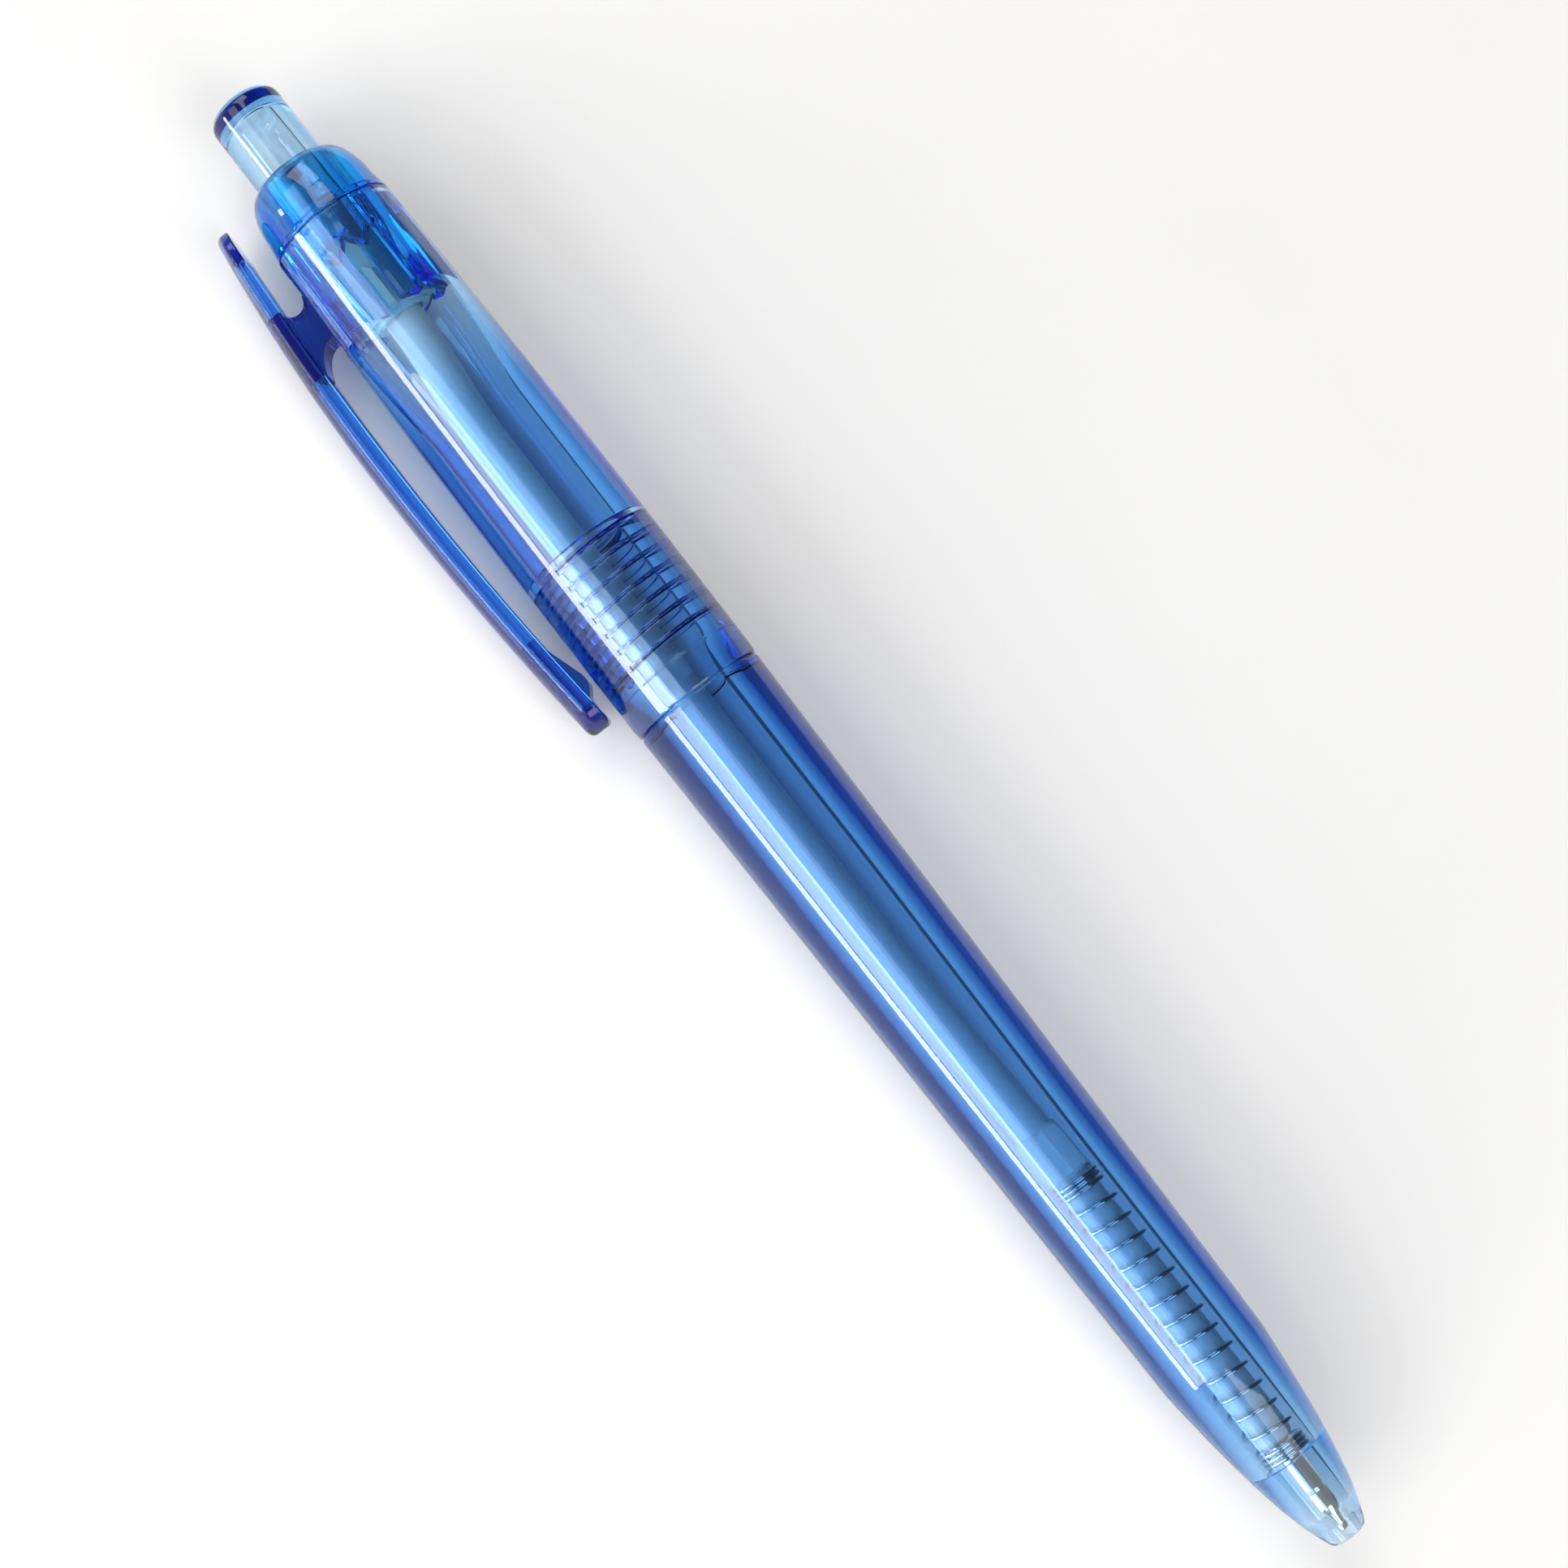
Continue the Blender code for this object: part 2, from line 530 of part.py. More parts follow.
def make_return_spring(parent, material):
    points = spring_points()
    print(f"return_spring: least gap to itself {least_gap(points) / MM:.3f} mm")
    wire = bpy.data.curves.new("return_spring", "CURVE")
    wire.dimensions = "3D"
    wire.bevel_depth = WIRE / 2
    wire.bevel_resolution = 1
    wire.use_fill_caps = True
    spline = wire.splines.new("POLY")
    spline.points.add(len(points) - 1)
    spline.points.foreach_set("co", np.column_stack((points, np.ones(len(points)))).ravel())
    spline.use_smooth = True
    return add_object("return_spring", wire, parent, material)


# The clip's faces are arches: each falls off with the square of the way from its peak, up and down alike.
def clip_arch(height, peak, drops):
    above = (height - CLIP_PEAK_Z) / (CLIP_TOP_Z - CLIP_PEAK_Z)
    below = (CLIP_PEAK_Z - height) / (CLIP_PEAK_Z - CLIP_END_Z)
    return peak - (drops[0] * above**2 if height > CLIP_PEAK_Z else drops[1] * below**2)


def clip_outer(height):
    return clip_arch(height, CLIP_OUTER_PEAK, CLIP_OUTER_DROP)


def clip_inner(height):
    return clip_arch(height, CLIP_INNER_PEAK, CLIP_INNER_DROP)


# Seen from outside, the lever's ends are half rounds.
def clip_half_width(height):
    to_end = min(CLIP_TOP_Z - height, height - CLIP_END_Z)
    inset = max(0.0, CLIP_HALF_WIDTH - to_end)
    return math.sqrt(CLIP_HALF_WIDTH**2 - min(inset, CLIP_END_SHARE * CLIP_HALF_WIDTH) ** 2)


# One cross-section of the lever: a flat underside, upright sides and a crowned outer face.
def clip_section(height):
    inner = clip_inner(height)
    outer = clip_outer(height)
    edge = inner + CLIP_EDGE_SHARE * (outer - inner)
    half = clip_half_width(height)
    crown = [(edge + (outer - edge) * (1 - y * y), y * half, height) for y in np.linspace(1.0, -1.0, 9)]
    return np.array([(inner, -half, height), (inner, half, height)] + crown)


def hollow_section(height):
    inner = clip_inner(height)
    roof = inner + CLIP_HOLLOW_SHARE * (clip_outer(height) - inner)
    half = CLIP_HOLLOW_HALF_WIDTH
    roof_half = CLIP_HOLLOW_DRAFT * half
    open_side = inner - CLIP_HOLLOW_RUN_OUT
    corners = [(open_side, -half), (open_side, half), (roof, roof_half), (roof, -roof_half)]
    return np.array([(x, y, height) for x, y in corners])


# The web between foot and lever, with a round notch above it and a sweeping fillet below.
def web_outline():
    notch_z = WEB_TOP_Z + WEB_NOTCH_SIZE[1]
    sweep_z = WEB_LOW_Z - WEB_SWEEP_LENGTH
    foot_x = FOOT_INNER + WEB_FOOT_SINK
    notch = arc((WEB_NOTCH_X, notch_z), WEB_NOTCH_SIZE, -180.0, 0.0, 9)
    top_clip = (clip_inner(WEB_TOP_Z) + WEB_ROOT, notch_z)
    low_clip = (clip_inner(WEB_LOW_Z) + WEB_ROOT, sweep_z)
    sweep_end = (clip_inner(WEB_LOW_Z) - WEB_SWEEP_SINK, sweep_z)
    sweep = curve(sweep_end, (WEB_SWEEP_X, WEB_LOW_Z), (FOOT_OUTER, WEB_LOW_Z), 7)
    return notch + [top_clip, low_clip] + sweep + [(foot_x, WEB_LOW_Z), (foot_x, notch_z)]


# The pad under the lever's free end: a long ramp, a narrow land beside the barrel and a short back.
def pad_outline():
    roof = clip_inner(PAD_LAND_Z[0]) + PAD_ROOT
    ramp_top = clip_inner(PAD_TOP_Z) + PAD_SINK
    back_top = clip_inner(PAD_END_Z) + PAD_SINK
    root_z = CLIP_HOLLOW_Z[0] - PAD_SINK
    outline = [(roof, PAD_TOP_Z), (ramp_top, PAD_TOP_Z)]
    outline += [(PAD_LAND, PAD_LAND_Z[1]), (PAD_LAND, PAD_LAND_Z[0])]
    outline += [(back_top, PAD_END_Z), (back_top, root_z), (roof, root_z)]
    return outline


def make_clip(parent, material):
    ends = CLIP_HALF_WIDTH * (1 - np.cos(np.radians(np.linspace(10.0, 90.0, 6))))
    heights = list(CLIP_TOP_Z - ends) + list(CLIP_END_Z + ends[::-1])
    middle = np.linspace(heights[5], heights[6], 14)[1:-1]
    heights = heights[:6] + list(middle) + heights[6:]
    clip = skinned("clip", [clip_section(z) for z in heights], parent, material, closed=False)
    hollow_heights = np.linspace(CLIP_HOLLOW_Z[1], CLIP_HOLLOW_Z[0], 12)
    hollow = skinned("clip_hollow", [hollow_section(z) for z in hollow_heights], parent, None, closed=False)
    boolean(clip, hollow, "DIFFERENCE")
    boolean(clip, prism("clip_web", web_outline(), WEB_HALF_WIDTH, parent), "UNION")
    boolean(clip, dovetail("clip_foot", 0.0, 0.0, FOOT_Z[1], parent), "UNION")
    boolean(clip, prism("clip_pad", pad_outline(), PAD_HALF_WIDTH, parent), "UNION")
    pivot = Vector(CLIP_PIVOT)
    clip.data.transform(Matrix.Translation(-pivot))
    clip.location = pivot
    return clip


# How far the clip hangs below level when the pen lies on its widest ring and on the clip's lower edge.
def resting_roll():
    edge = clip_inner(CLIP_PEAK_Z) + CLIP_EDGE_SHARE * (clip_outer(CLIP_PEAK_Z) - clip_inner(CLIP_PEAK_Z))
    reach = math.hypot(edge, CLIP_HALF_WIDTH)
    return math.asin(UPPER_MAX_RADIUS / reach) - math.atan2(CLIP_HALF_WIDTH, edge)


def lay_down(pen_axis, roll):
    c = math.cos(roll)
    s = math.sin(roll)
    columns = Matrix(((0.0, 0.0, -1.0), (-c, -s, 0.0), (-s, c, 0.0))).to_4x4()
    pen_axis.matrix_world = columns


# Moves the pen so that its box stands on z = 0, centred on the origin.
def stand_on_origin(pen_axis, pieces):
    bpy.context.view_layer.update()
    graph = bpy.context.evaluated_depsgraph_get()
    corners = []
    for piece in pieces:
        seen = piece.evaluated_get(graph)
        mesh = seen.to_mesh()
        places = np.empty(len(mesh.vertices) * 3)
        mesh.vertices.foreach_get("co", places)
        seen.to_mesh_clear()
        world = np.array(seen.matrix_world)
        corners.append(places.reshape(-1, 3) @ world[:3, :3].T + world[:3, 3])
    corners = np.concatenate(corners)
    low = corners.min(0)
    high = corners.max(0)
    shift = Vector((-(low[0] + high[0]) / 2, -(low[1] + high[1]) / 2, -low[2]))
    pen_axis.location = pen_axis.location + shift
    bpy.context.view_layer.update()


def main():
    clear_scene()
    pen_axis = bpy.data.objects.new("pen_axis", None)
    bpy.context.scene.collection.objects.link(pen_axis)
    barrel_blue = plastic("clear_blue", (0.05, 0.16, 0.52), 0.05, clear=0.85)
    lower_blue = plastic("clear_pale_blue", (0.07, 0.20, 0.55), 0.05, clear=0.85)
    cap_blue = plastic("deep_blue", (0.005, 0.08, 0.55), 0.08, clear=0.6)
    clip_blue = plastic("deep_blue_clip", (0.004, 0.07, 0.52), 0.08, clear=0.6)
    button_clear = plastic("clear_button", (0.45, 0.58, 0.78), 0.08, clear=0.8)
    rotor_white = plastic("milky_rotor", (0.78, 0.82, 0.88), 0.3, clear=0.2)
    tube_white = plastic("milky_tube", (0.80, 0.84, 0.88), 0.3, clear=0.3)
    ink_blue = plastic("ink", (0.01, 0.02, 0.18), 0.2)
    point_metal = plastic("nickel_silver", (0.72, 0.70, 0.66), 0.15, metallic=1.0)
    ball_metal = plastic("carbide", (0.45, 0.46, 0.48), 0.1, metallic=1.0)
    spring_steel = plastic("spring_steel", (0.62, 0.63, 0.65), 0.22, metallic=1.0)
    pieces = [
        make_lower_barrel(pen_axis, lower_blue),
        make_upper_barrel(pen_axis, barrel_blue),
        make_end_cap(pen_axis, cap_blue),
        make_clip(pen_axis, clip_blue),
        make_push_button(pen_axis, button_clear),
        make_cam_rotor(pen_axis, rotor_white),
        make_refill_tube(pen_axis, tube_white),
        make_ink_column(pen_axis, ink_blue),
        make_point_body(pen_axis, point_metal),
        make_writing_ball(pen_axis, ball_metal),
        make_return_spring(pen_axis, spring_steel),
    ]
    roll = resting_roll()
    lay_down(pen_axis, roll)
    stand_on_origin(pen_axis, pieces)
    nose_end = tuple(pen_axis.matrix_world.translation)
    print(f"roll {math.degrees(roll):.3f} deg, nose end of the axis at {nose_end}")


main()
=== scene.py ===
import math

import bpy
import numpy as np
from mathutils import Matrix


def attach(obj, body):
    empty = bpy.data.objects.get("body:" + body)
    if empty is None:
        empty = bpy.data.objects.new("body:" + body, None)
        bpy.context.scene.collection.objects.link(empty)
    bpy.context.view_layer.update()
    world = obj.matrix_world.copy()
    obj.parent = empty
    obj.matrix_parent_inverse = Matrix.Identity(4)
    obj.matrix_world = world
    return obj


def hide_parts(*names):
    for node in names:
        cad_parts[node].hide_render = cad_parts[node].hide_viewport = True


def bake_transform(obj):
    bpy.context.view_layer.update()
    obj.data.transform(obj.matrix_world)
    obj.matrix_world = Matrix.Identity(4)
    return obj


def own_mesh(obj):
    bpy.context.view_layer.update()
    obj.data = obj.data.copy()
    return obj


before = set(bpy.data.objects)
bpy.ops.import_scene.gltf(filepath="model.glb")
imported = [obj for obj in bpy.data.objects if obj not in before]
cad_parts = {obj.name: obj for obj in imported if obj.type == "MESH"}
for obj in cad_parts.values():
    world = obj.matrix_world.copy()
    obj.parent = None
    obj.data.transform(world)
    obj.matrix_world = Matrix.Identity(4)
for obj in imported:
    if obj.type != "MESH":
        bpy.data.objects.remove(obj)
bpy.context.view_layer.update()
print("frame loaded,", len(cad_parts), "nodes")

# The pen's own frame: x towards the clip, z from the nose end up to the button, in millimetres.
penLie = {"noseEnd": (0.0710, 0.00183946, 0.00581431), "rollDeg": 22.198, "unit": 0.001}
roll = math.radians(penLie["rollDeg"])
penAxes = np.array(((0, -math.cos(roll), -math.sin(roll)), (0, -math.sin(roll), math.cos(roll)), (-1, 0, 0)))


# Row-frame metres of pen millimetres: the nose end plus each coordinate along its own pen axis.
def toRow(points):
    return np.array(penLie["noseEnd"]) + penLie["unit"] * (np.asarray(points, float) @ penAxes)


# Smooth step from 0 to 1 between two values, 3t^2 - 2t^3.
def ease(x, low, high):
    t = np.clip((np.asarray(x, float) - low) / (high - low), 0, 1)
    return t * t * (3 - 2 * t)


# A run of n points from a to b, each with no bend of its own.
def straight(a, b, n):
    t = np.linspace(0, 1, n)[:, None]
    return np.hstack(((1 - t) * np.array(a) + t * np.array(b), np.zeros((n, 1))))


# n points of the quadratic curve that leaves a towards b and reaches c from it: (1-t)^2 a + 2t(1-t) b + t^2 c.
def swept(a, b, c, n):
    t = np.linspace(0, 1, n)[:, None]
    path = (1 - t) ** 2 * np.array(a) + 2 * t * (1 - t) * np.array(b) + t * t * np.array(c)
    return np.hstack((path, np.zeros((n, 1))))


# n points of an ellipse from one angle to another.
def ellipse(centre, size, fromDeg, toDeg, n):
    turn = np.radians(np.linspace(fromDeg, toDeg, n))
    path = np.array(centre) + np.array(size) * np.column_stack((np.cos(turn), np.sin(turn)))
    return np.hstack((path, np.zeros((n, 1))))


softening = {"steps": 5, "mostShare": 0.4, "beyond": 1.2, "tiny": 1e-9}


# Closed outlines (..., corners, 2) with softened corners: a corner is swapped for the quadratic curve that starts
# and ends one bend away from it, and a row just beyond each end keeps the straight beside it flat.
def soften(corners, bends, steps=softening["steps"], s=softening):
    corners, bends = np.asarray(corners, float), np.asarray(bends, float)
    back = np.roll(corners, 1, -2) - corners
    on = np.roll(corners, -1, -2) - corners
    backLength = np.linalg.norm(back, axis=-1, keepdims=True) + s["tiny"]
    onLength = np.linalg.norm(on, axis=-1, keepdims=True) + s["tiny"]
    reach = np.minimum(bends[:, None], s["mostShare"] * np.minimum(backLength, onLength))
    start, end = corners + reach * back / backLength, corners + reach * on / onLength
    t = np.linspace(0, 1, steps)[:, None]
    bow = (1 - t) ** 2 * start[..., None, :] + 2 * t * (1 - t) * corners[..., None, :] + t * t * end[..., None, :]
    before = corners + s["beyond"] * reach * back / backLength
    after = corners + s["beyond"] * reach * on / onLength
    rows = np.concatenate((before[..., None, :], bow, after[..., None, :]), -2)
    keep = np.repeat(bends[:, None] > 0, steps + 2, 1)
    keep[:, 1 + steps // 2] = True
    return rows.reshape(*corners.shape[:-2], -1, 2)[..., keep.ravel(), :]


# One softened outline from corners and runs of corners, each (radius, height, bend).
def softPath(*runs):
    corners = np.vstack([np.atleast_2d(run) for run in runs])
    return soften(corners[:, :2], corners[:, 2])


# A mesh from a grid of pen points: quads between neighbours, columns wrapped, rows wrapped or closed by fans,
# turned outwards by the sign of the volume that its faces enclose. UV runs round the columns and along the rows.
def gridMesh(name, grid, wrapRows=True, sharpDeg=38):
    rows, cols = grid.shape[:2]
    r0, c0 = np.meshgrid(np.arange(rows if wrapRows else rows - 1), np.arange(cols), indexing="ij")
    r1, c1 = (r0 + 1) % rows, (c0 + 1) % cols
    quads = np.stack((r0 * cols + c0, r0 * cols + c1, r1 * cols + c1, r1 * cols + c0), -1).reshape(-1, 4)
    u = np.stack((c0, c0 + 1, c0 + 1, c0), -1).reshape(-1, 4) / cols
    v = np.stack((r0, r0, r0 + 1, r0 + 1), -1).reshape(-1, 4) / rows
    points = grid.reshape(-1, 3)
    fans = np.zeros((0, 3), int)
    if not wrapRows:
        points = np.vstack((points, grid[0].mean(0), grid[-1].mean(0)))
        near = np.arange(cols)
        far = (near + 1) % cols
        last = (rows - 1) * cols
        fans = np.vstack((
            np.column_stack((far, near, np.full(cols, rows * cols))),
            np.column_stack((last + near, last + far, np.full(cols, rows * cols + 1)))))
    triangles = np.vstack((quads[:, :3], quads[:, (0, 2, 3)], fans))
    a, b, c = (points[triangles[:, k]] for k in range(3))
    if np.einsum("ij,ij->i", a, np.cross(b, c)).sum() < 0:
        quads, fans, u, v = quads[:, ::-1], fans[:, ::-1], u[:, ::-1], v[:, ::-1]
    mesh = bpy.data.meshes.new(name)
    mesh.vertices.add(len(points))
    mesh.vertices.foreach_set("co", toRow(points).ravel())
    loops = np.concatenate((quads.ravel(), fans.ravel()))
    starts = np.concatenate((4 * np.arange(len(quads)), 4 * len(quads) + 3 * np.arange(len(fans))))
    mesh.loops.add(len(loops))
    mesh.loops.foreach_set("vertex_index", loops.astype(np.int32))
    mesh.polygons.add(len(starts))
    mesh.polygons.foreach_set("loop_start", starts.astype(np.int32))
    uv = np.full((len(loops), 2), 0.5)
    uv[:quads.size] = np.column_stack((u.ravel(), v.ravel()))
    mesh.uv_layers.new(name="UVMap").data.foreach_set("uv", uv.ravel())
    mesh.update(calc_edges=True)
    mesh.shade_smooth()
    mesh.set_sharp_from_angle(angle=math.radians(sharpDeg))
    return mesh


# Points of a turned surface: radius and height, each (rows, 1) or (rows, columns), swung round the pen's axis.
def swing(radius, height, turn):
    radius, height, turn = np.broadcast_arrays(radius, height, turn)
    return np.stack((radius * np.cos(turn), radius * np.sin(turn), height), -1)


# The same from rows of (radius, height), where each is a single value or one for each column.
def swingRows(rows, turn):
    radius, height = (np.vstack([row[k] * np.ones_like(turn) for row in rows]) for k in (0, 1))
    return swing(radius, height, turn)


# The turn angles of n columns, as one row.
def fullTurn(n):
    return np.linspace(0, 2 * np.pi, n, endpoint=False)[None, :]


def addObject(name, mesh, material=None):
    made = bpy.data.objects.new(name, mesh)
    bpy.context.scene.collection.objects.link(made)
    if material:
        mesh.materials.append(material)
    return made


# A finished piece takes over its CAD node: it goes on the same body, and the node is hidden.
def takeOver(piece, body, node):
    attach(piece, body)
    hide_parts(node)
    print("piece", piece.name, len(piece.data.polygons), "faces on", body)
    return piece


# Joins tools to a piece or cuts them from it, keeps the result as its mesh and drops the tools.
def carve(piece, tools, sharpDeg=38):
    for tool, operation in tools:
        step = piece.modifiers.new(tool.name, "BOOLEAN")
        step.operation, step.solver, step.object = operation, "EXACT", tool
    graph = bpy.context.evaluated_depsgraph_get()
    mesh = bpy.data.meshes.new_from_object(piece.evaluated_get(graph))
    piece.modifiers.clear()
    piece.data = mesh
    for tool, operation in tools:
        bpy.data.objects.remove(tool)
    mesh.shade_smooth()
    mesh.set_sharp_from_angle(angle=math.radians(sharpDeg))


def newFinish(name):
    finish = bpy.data.materials.new(name)
    finish.use_nodes = True
    nodes, links = finish.node_tree.nodes, finish.node_tree.links
    return finish, nodes, links, nodes["Principled BSDF"]


# Noise on Object coordinates; stretch below 1 along X draws it out along the pen.
def noise(nodes, links, scale, stretch, detail, roughness=0.5):
    where = nodes.new("ShaderNodeTexCoord")
    mapping = nodes.new("ShaderNodeMapping")
    mapping.inputs["Scale"].default_value = stretch
    made = nodes.new("ShaderNodeTexNoise")
    made.inputs["Scale"].default_value = scale
    made.inputs["Detail"].default_value = detail
    made.inputs["Roughness"].default_value = roughness
    links.new(where.outputs["Object"], mapping.inputs["Vector"])
    links.new(mapping.outputs["Vector"], made.inputs["Vector"])
    return made.outputs["Fac"]


# A value turned into a colour between two.
def ramp(nodes, links, value, low, high, stops=(0.3, 0.7)):
    made = nodes.new("ShaderNodeValToRGB")
    made.color_ramp.elements[0].position, made.color_ramp.elements[1].position = stops
    made.color_ramp.elements[0].color = (*low, 1)
    made.color_ramp.elements[1].color = (*high, 1)
    links.new(value, made.inputs["Fac"])
    return made.outputs["Color"]


# A value's span turned into another.
def spread(nodes, links, value, low, high, span=(0.25, 0.75)):
    made = nodes.new("ShaderNodeMapRange")
    made.inputs["From Min"].default_value, made.inputs["From Max"].default_value = span
    made.inputs["To Min"].default_value, made.inputs["To Max"].default_value = low, high
    links.new(value, made.inputs["Value"])
    return made.outputs["Result"]


# Relief from one or more heights, each added to the one before.
def bump(nodes, links, shader, heights, distance):
    normal = None
    for height in heights:
        made = nodes.new("ShaderNodeBump")
        made.inputs["Strength"].default_value = 1.0
        made.inputs["Distance"].default_value = distance
        links.new(height, made.inputs["Height"])
        if normal:
            links.new(normal, made.inputs["Normal"])
        normal = made.outputs["Normal"]
    links.new(normal, shader.inputs["Normal"])


# Noise settings below are scale, stretch, detail and, where it isn't 0.5, roughness.
clearGrain = {
    "ior": 1.56, "cloud": (160, (0.35, 1, 1), 2), "flow": (420, (0.05, 1, 1), 3), "wear": (2600, (0.25, 1, 1), 4, 0.65),
}


# Clear moulded plastic: light is lost in its depth, its skin has faint flow lines along the pen and fine wear.
def clearPlastic(name, settings, grain=clearGrain):
    finish, nodes, links, shader = newFinish(name)
    shader.inputs["Transmission Weight"].default_value = 1.0
    shader.inputs["IOR"].default_value = grain["ior"]
    cloud, flow, wear = (noise(nodes, links, *grain[key]) for key in ("cloud", "flow", "wear"))
    links.new(ramp(nodes, links, cloud, *settings["skin"]), shader.inputs["Base Color"])
    links.new(spread(nodes, links, wear, *settings["roughness"]), shader.inputs["Roughness"])
    bump(nodes, links, shader, (cloud, flow), settings["ripple"])
    depth = nodes.new("ShaderNodeVolumeAbsorption")
    depth.inputs["Color"].default_value = (*settings["depthColour"], 1)
    depth.inputs["Density"].default_value = settings["depth"]
    links.new(depth.outputs["Volume"], nodes["Material Output"].inputs["Volume"])
    return finish


milkyGrain = {"cloud": (300, (0.3, 1, 1), 3), "grain": (3200, (0.3, 1, 1), 3), "relief": 0.000004}


# Milky moulded plastic: pale, scattering a little below its skin, with cloudy patches and a satin sheen.
def milkyPlastic(name, settings, grain=milkyGrain):
    finish, nodes, links, shader = newFinish(name)
    cloud, fine = (noise(nodes, links, *grain[key]) for key in ("cloud", "grain"))
    links.new(ramp(nodes, links, cloud, *settings["skin"]), shader.inputs["Base Color"])
    links.new(spread(nodes, links, fine, *settings["roughness"]), shader.inputs["Roughness"])
    shader.inputs["Subsurface Weight"].default_value = 1.0
    shader.inputs["Subsurface Radius"].default_value = (1.0, 1.0, 1.0)
    shader.inputs["Subsurface Scale"].default_value = settings["reach"]
    bump(nodes, links, shader, (fine,), grain["relief"])
    return finish


metalPatch = (500, (1, 1, 1), 3)


# Metal: rings from turning or lines from drawing, as noise pressed thin along one direction.
def metal(name, settings):
    finish, nodes, links, shader = newFinish(name)
    shader.inputs["Metallic"].default_value = 1.0
    lines = noise(nodes, links, *settings["lines"])
    patch = noise(nodes, links, *metalPatch)
    links.new(ramp(nodes, links, patch, *settings["skin"]), shader.inputs["Base Color"])
    links.new(spread(nodes, links, lines, *settings["roughness"]), shader.inputs["Roughness"])
    bump(nodes, links, shader, (lines,), settings["lineDepth"])
    return finish


# Ink: a glossy dark paste with cloudy patches.
def inkPaste(name, settings):
    finish, nodes, links, shader = newFinish(name)
    cloud = noise(nodes, links, *settings["cloud"])
    links.new(ramp(nodes, links, cloud, *settings["skin"]), shader.inputs["Base Color"])
    links.new(spread(nodes, links, cloud, *settings["roughness"]), shader.inputs["Roughness"])
    bump(nodes, links, shader, (cloud,), settings["relief"])
    return finish


barrelSkin = {"skin": ((0.95, 0.98, 1.0), (1.0, 1.0, 1.0)), "roughness": (0.01, 0.035), "ripple": 0.0000001}
lowerBlue = {**barrelSkin, "depthColour": (0.12, 0.58, 0.91), "depth": 430.0}
upperBlue = {**barrelSkin, "depthColour": (0.03, 0.586, 0.96), "depth": 430.0}
headBlue = {
    "skin": ((0.92, 0.97, 1.0), (1.0, 1.0, 1.0)), "roughness": (0.015, 0.04), "ripple": 0.0000001,
    "depthColour": (0.02, 0.775, 0.985), "depth": 1200.0,
}
clipBlue = {
    "skin": ((0.92, 0.97, 1.0), (1.0, 1.0, 1.0)), "roughness": (0.015, 0.045), "ripple": 0.0000001,
    "depthColour": (0.0, 0.5, 0.88), "depth": 1600.0,
}
buttonClear = {
    "skin": ((0.94, 0.97, 1.0), (1.0, 1.0, 1.0)), "roughness": (0.02, 0.07), "ripple": 0.0000012,
    "depthColour": (0.03, 0.585, 0.913), "depth": 289.0,
}
tubeMilk = {"skin": ((0.94, 0.93, 0.91), (0.98, 0.97, 0.95)), "roughness": (0.22, 0.38), "reach": 0.0005}
rotorMilk = {"skin": ((0.52, 0.80, 0.96), (0.62, 0.87, 0.98)), "roughness": (0.22, 0.36), "reach": 0.0006}
springSteel = {
    "skin": ((0.58, 0.59, 0.61), (0.74, 0.75, 0.76)), "roughness": (0.06, 0.14),
    "lines": (1500, (1, 1, 1), 3), "lineDepth": 0.000004,
}
nickelSilver = {
    "skin": ((0.70, 0.68, 0.64), (0.86, 0.84, 0.80)), "roughness": (0.05, 0.14),
    "lines": (900, (6, 0.2, 0.2), 3), "lineDepth": 0.000002,
}
carbide = {
    "skin": ((0.36, 0.37, 0.40), (0.50, 0.51, 0.54)), "roughness": (0.08, 0.18),
    "lines": (4000, (1, 1, 1), 3), "lineDepth": 0.000001,
}
inkBlue = {
    "skin": ((0.006, 0.012, 0.10), (0.012, 0.025, 0.17)), "roughness": (0.10, 0.22),
    "cloud": (700, (0.4, 1, 1), 3), "relief": 0.00001,
}

lowerFinish = clearPlastic("clear blue lower barrel", lowerBlue)
upperFinish = clearPlastic("clear blue upper barrel", upperBlue)
capFinish = clearPlastic("deep blue end cap", headBlue)
clipFinish = clearPlastic("deep blue clip", clipBlue)
buttonFinish = clearPlastic("clear button", buttonClear)
tubeFinish = milkyPlastic("milky refill tube", tubeMilk)
rotorFinish = milkyPlastic("milky rotor", rotorMilk)
springFinish = metal("drawn spring steel", springSteel)
pointFinish = metal("turned nickel silver", nickelSilver)
ballFinish = metal("lapped carbide", carbide)
inkFinish = inkPaste("blue ink paste", inkBlue)
print("finishes made")


thread = {"pitch": 1.57, "from": 84.9, "to": 95.9, "fade": 0.5, "width": 0.13}


# How strongly the right-hand thread shows at a turn angle and height: a bell curve of the distance to the nearest
# turn of the helix, faded out at both ends.
def threadLine(turn, height, s=thread):
    phase = (height / s["pitch"] - turn / (2 * np.pi)) % 1.0
    away = np.abs(phase - 0.5) * s["pitch"]
    fade = ease(height, s["from"], s["from"] + s["fade"]) * (1 - ease(height, s["to"] - s["fade"], s["to"]))
    return fade * np.exp(-(away / s["width"]) ** 2)


